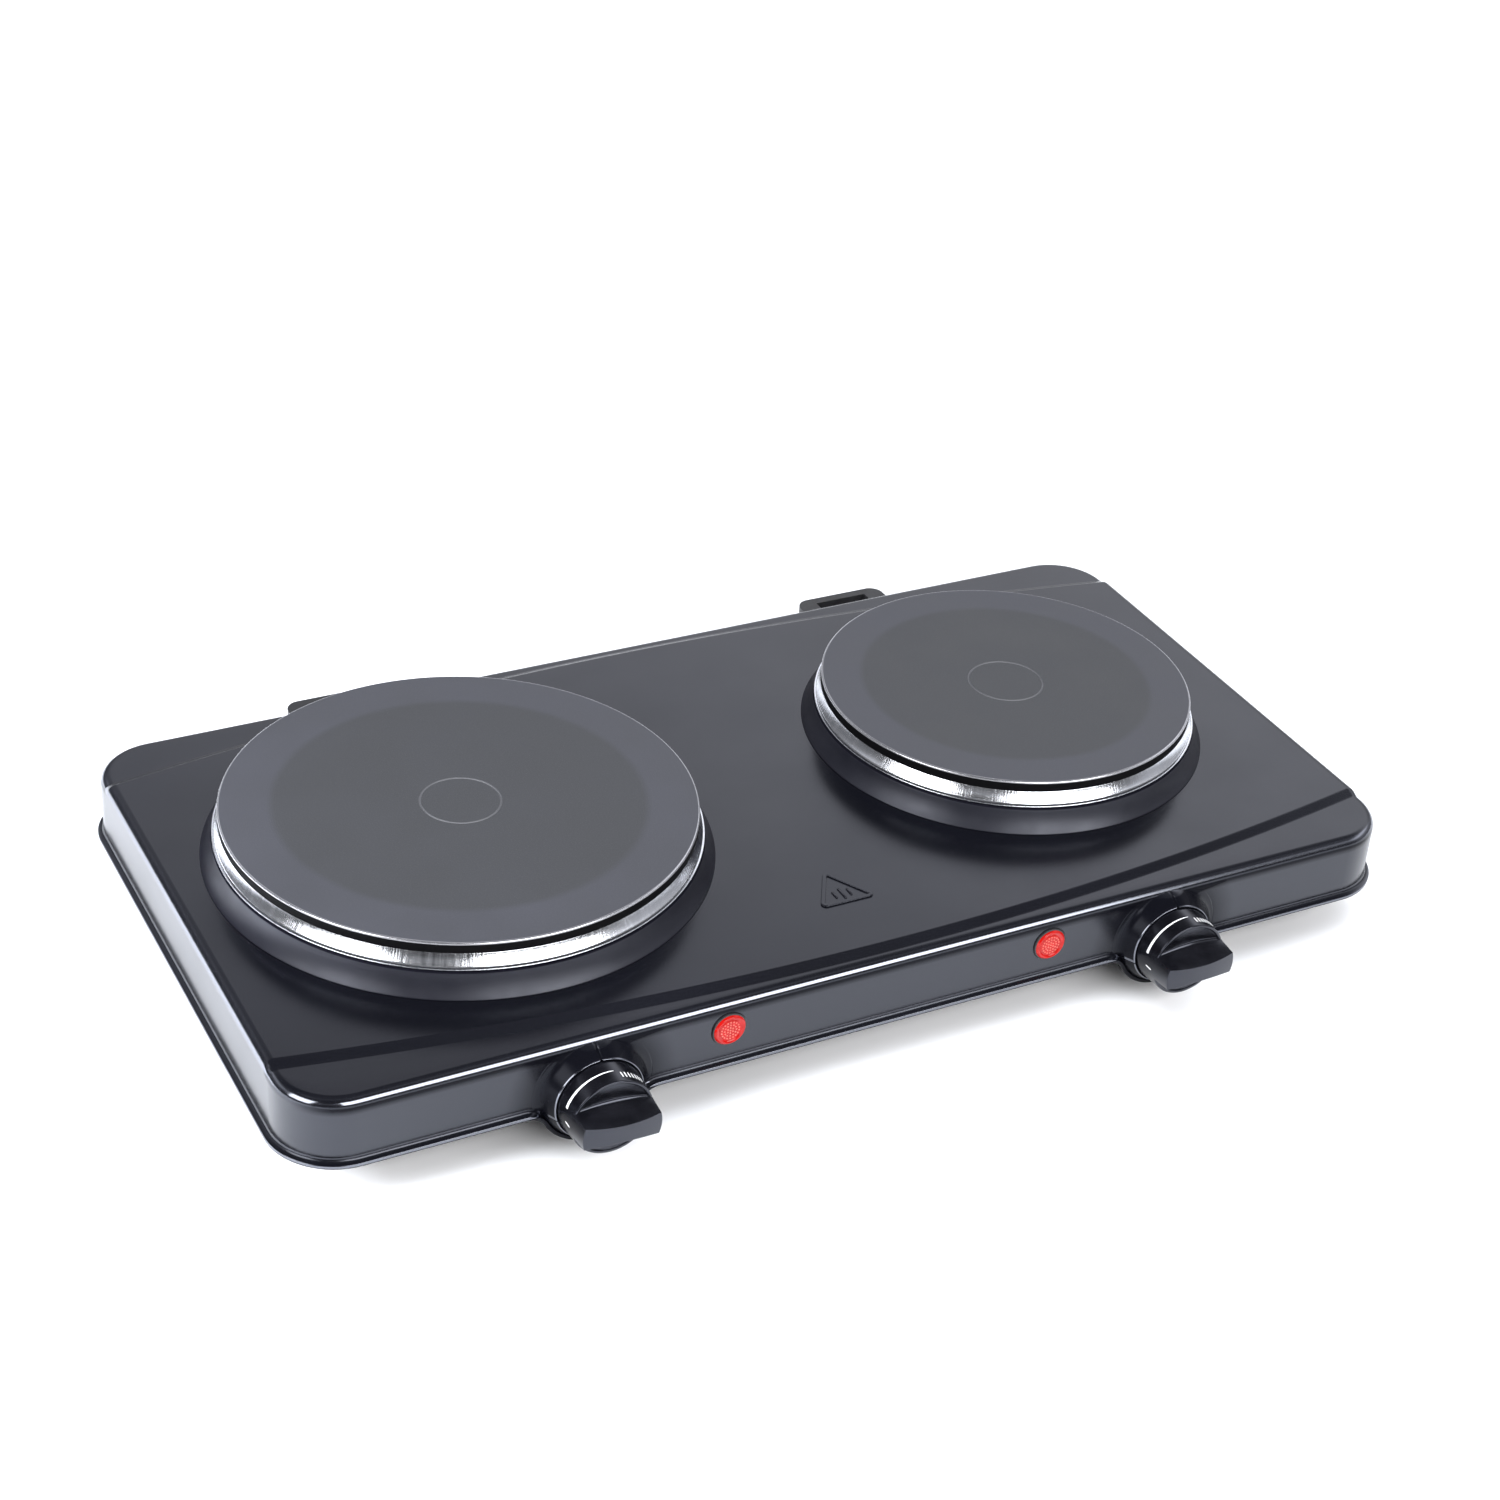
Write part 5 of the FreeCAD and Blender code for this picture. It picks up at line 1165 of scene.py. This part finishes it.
def make_cover_screws(steel, copies):
    """The base's screw heads, one on each of the CAD screws."""
    places = [
        ((low[0] + high[0]) / 2, (low[1] + high[1]) / 2, low[2] + 0.6 * MM)
        for low, high in islands(bpy.data.objects["cover_screws"].data)
    ]
    spots = bpy.data.meshes.new("screw_places")
    spots.from_pydata(places, [], [])
    head_shape = screw_head()
    head = bpy.data.meshes.new("screw_head")
    head.from_pydata([point * MM for point in head_shape.points], [], head_shape.faces)
    helpers = [add_object(mesh.name, mesh) for mesh in (spots, head)]
    mesh = grown(copies, {"Places": helpers[0], "Part": helpers[1], "Finish": steel})
    for helper in helpers:
        bpy.data.objects.remove(helper)
    work = bmesh.new()
    work.from_mesh(mesh)
    bmesh.ops.remove_doubles(work, verts=work.verts, dist=1e-6)
    bmesh.ops.recalc_face_normals(work, faces=work.faces)
    work.to_mesh(mesh)
    work.free()
    finished("cover_screw_heads", mesh, steel, "housing", [])


def softened_node(node, finish, width):
    """A CAD node's own shape with its flat faces merged and its edges eased."""
    mesh = bpy.data.objects[node].data.copy()
    mesh.name = f"{node}_eased"
    work = bmesh.new()
    work.from_mesh(mesh)
    bmesh.ops.remove_doubles(work, verts=work.verts, dist=1e-6)
    bmesh.ops.dissolve_limit(work, angle_limit=math.radians(1.0), verts=work.verts, edges=work.edges)
    work.to_mesh(mesh)
    work.free()
    finished(f"{node}_eased", mesh, finish, "housing", [node], soften=width)


def coat_nodes(finish, *nodes):
    """Gives CAD nodes that keep their own shape a finish."""
    for node in nodes:
        materials = bpy.data.objects[node].data.materials
        materials.clear()
        materials.append(finish)


# ---- studio ----


def soft_light(name, place, target, width, height, power, colour=(1, 1, 1), mirrored=True):
    """An area light; one that isn't mirrored doesn't show in glossy surfaces."""
    lamp = bpy.data.lights.new(name, "AREA")
    lamp.shape = "RECTANGLE"
    lamp.size, lamp.size_y = width, height
    lamp.energy = power
    lamp.color = colour
    thing = add_object(name, lamp)
    thing.location = place
    thing.rotation_mode = "QUATERNION"
    thing.rotation_quaternion = (Vector(target) - Vector(place)).to_track_quat("-Z", "Y")
    thing.visible_glossy = mirrored


def make_floor():
    """A pale floor whose edges are out of every view."""
    mesh = bpy.data.meshes.new("studio_floor")
    corners = [(x * FLOOR_REACH, y * FLOOR_REACH, 0) for x, y in ((-1, -1), (1, -1), (1, 1), (-1, 1))]
    mesh.from_pydata(corners, [], [(0, 1, 2, 3)])
    floor = add_object("studio_floor", mesh)
    pale = Finish("pale_floor", (0.93, 0.93, 0.94), 0.8, Specular_IOR_Level=0.0)
    mesh.materials.append(pale.material)


def make_world():
    """A room to mirror: a bright band half way up its walls, more to the right and less behind
    the camera, and an opening on the far side."""
    world = bpy.data.worlds.new("studio")
    bpy.context.scene.world = world
    world.use_nodes = True
    tree = world.node_tree
    where = add_node(tree, "ShaderNodeTexCoord").outputs["Generated"]

    def toward(direction):
        """How far each way looks in a direction, from -1 to 1."""
        made = add_node(tree, "ShaderNodeVectorMath", [(0, where)], operation="DOT_PRODUCT")
        made.inputs[1].default_value = direction
        return made.outputs["Value"]

    parts = add_node(tree, "ShaderNodeSeparateXYZ", [(0, where)])
    height = add_node(tree, "ShaderNodeValToRGB", [(0, parts.outputs[2])])
    levels = (
        (0.0, 0.25), (0.36, 0.42), (0.45, 1.3), (0.51, 1.4), (0.55, 1.75), (0.6, 1.15),
        (0.65, 0.6), (0.72, 0.2), (0.86, 0.12), (0.91, 0.45), (1.0, 0.3),
    )
    stops = height.color_ramp.elements
    stops[0].position, stops[1].position = levels[0][0], levels[-1][0]
    for place, _ in levels[1:-1]:
        stops.new(place)
    for stop, (place, light) in zip(stops, levels):
        stop.position = place
        stop.color = (light * 0.97, light * 0.98, light * 1.03, 1)

    behind = toward((-0.49, -0.87, 0))
    dim = map_range(tree, behind, -0.1, 0.45, 1.0, 0.22, interpolation_type="SMOOTHSTEP")
    window = map_range(tree, toward((1, 0.3, 0)), 0.2, 0.85, 0.5, 1.25,
                       interpolation_type="SMOOTHSTEP")
    opening = map_range(tree, behind, -0.97, -0.91, 2.5, 0.0)
    light = add_node(tree, "ShaderNodeMath", [(0, dim), (1, window), (2, opening)],
                     operation="MULTIPLY_ADD")
    shade = add_node(tree, "ShaderNodeVectorMath",
                     [(0, height.outputs[0]), ("Scale", light.outputs[0])], operation="SCALE")
    tree.links.new(shade.outputs[0], tree.nodes["Background"].inputs[0])


def make_studio():
    """Floor, room and lights."""
    make_floor()
    make_world()
    cool = (0.9, 0.94, 1.0)
    soft_light("right_softbox", (0.27, -1.45, 0.95), (0.05, -0.05, 0.05), 1.5, 0.8, 29)
    soft_light("left_softbox", (-1.4, -0.35, 0.8), (-0.1, 0, 0.05), 0.9, 0.8, 15)
    soft_light("table_light", (0.0, -0.25, 0.9), (0, -0.2, 0), 1.1, 0.5, 4, cool, mirrored=False)
    soft_light("left_floor_wash", (-0.66, 0.1, 0.3), (-0.66, 0.1, 0), 0.3, 0.7, 11, cool,
               mirrored=False)
    overhead = bpy.data.lights.new("overhead", "SUN")
    overhead.energy = 2.3
    overhead.angle = 1.3
    overhead.color = cool
    add_object("overhead", overhead).visible_glossy = False
    bpy.context.scene.view_settings.view_transform = "Standard"


def make_camera():
    """The view: from the front left and above."""
    camera = bpy.data.cameras.new("camera")
    camera.sensor_width = 36
    camera.lens = 68.97
    camera.clip_start, camera.clip_end = 0.05, 50
    thing = add_object("camera", camera)
    right = Vector((0.8879, -0.4554, 0.0648))
    down = Vector((-0.1964, -0.5027, -0.8419))
    ahead = Vector((0.4160, 0.7348, -0.5358))
    turn = Matrix((right, -down, -ahead)).transposed()
    place = Vector((-479.5, -847.2 + MIDDLE_Y, 665.1 + HEM_Z)) * MM
    thing.matrix_world = Matrix.Translation(place) @ turn.to_4x4()
    bpy.context.scene.camera = thing


def main():
    housing_enamel, dark_enamel, base_enamel = satin_enamel(), black_enamel(), stamped_base()
    plastic, ink, red, facet = knob_black(), dial_print(), lamp_red(), lamp_facet()
    black_plastic, rubber, steel, zinc = moulded_black(), foot_rubber(), plated_steel(), galvanised()
    marks, copies = marks_round_axis(), copies_on_points()

    make_camera()
    make_housing(housing_enamel)
    for side in SIDES:
        make_burner(side, cast_plate(side), bright_trim(side), dark_enamel)
        make_knob(side, plastic, ink, marks)
        make_lamp(side, red, facet, black_plastic, marks)
        softened_node(f"{side}_cord_bracket", black_plastic, 0.9)
    softened_node("cord_bushing", black_plastic, 0.4)
    make_feet(rubber)
    make_cover_screws(steel, copies)

    coat_nodes(base_enamel, "bottom_cover")
    coat_nodes(steel, "cover_screws", "foot_screws", "bracket_screws", "thermostat_screws",
               "bridge_nuts", "bridge_washers", "cord_clamp_screws", "earth_screw")
    coat_nodes(black_plastic, "cord_clamp", "mains_terminal_block")
    coat_nodes(terminal_brass(), "terminal_screws")
    coat_nodes(wire_sleeve(), "live_wires", "neutral_wires", "earth_wire", "lamp_leads")
    sheath, ceramic = sheath_metal(), cream_ceramic()
    for side in SIDES:
        coat_nodes(sheath, f"{side}_heating_element")
        coat_nodes(ceramic, f"{side}_plate_insulator", f"{side}_thermostat")
        coat_nodes(steel, f"{side}_stud", f"{side}_spacer", f"{side}_thermostat_shaft")
        coat_nodes(black_plastic, f"{side}_lamp_holder")
        coat_nodes(zinc, f"{side}_heat_shield", f"{side}_mounting_bridge",
                   f"{side}_thermostat_bracket", f"{side}_lamp_clip", f"{side}_knob_spring")

    make_studio()


main()
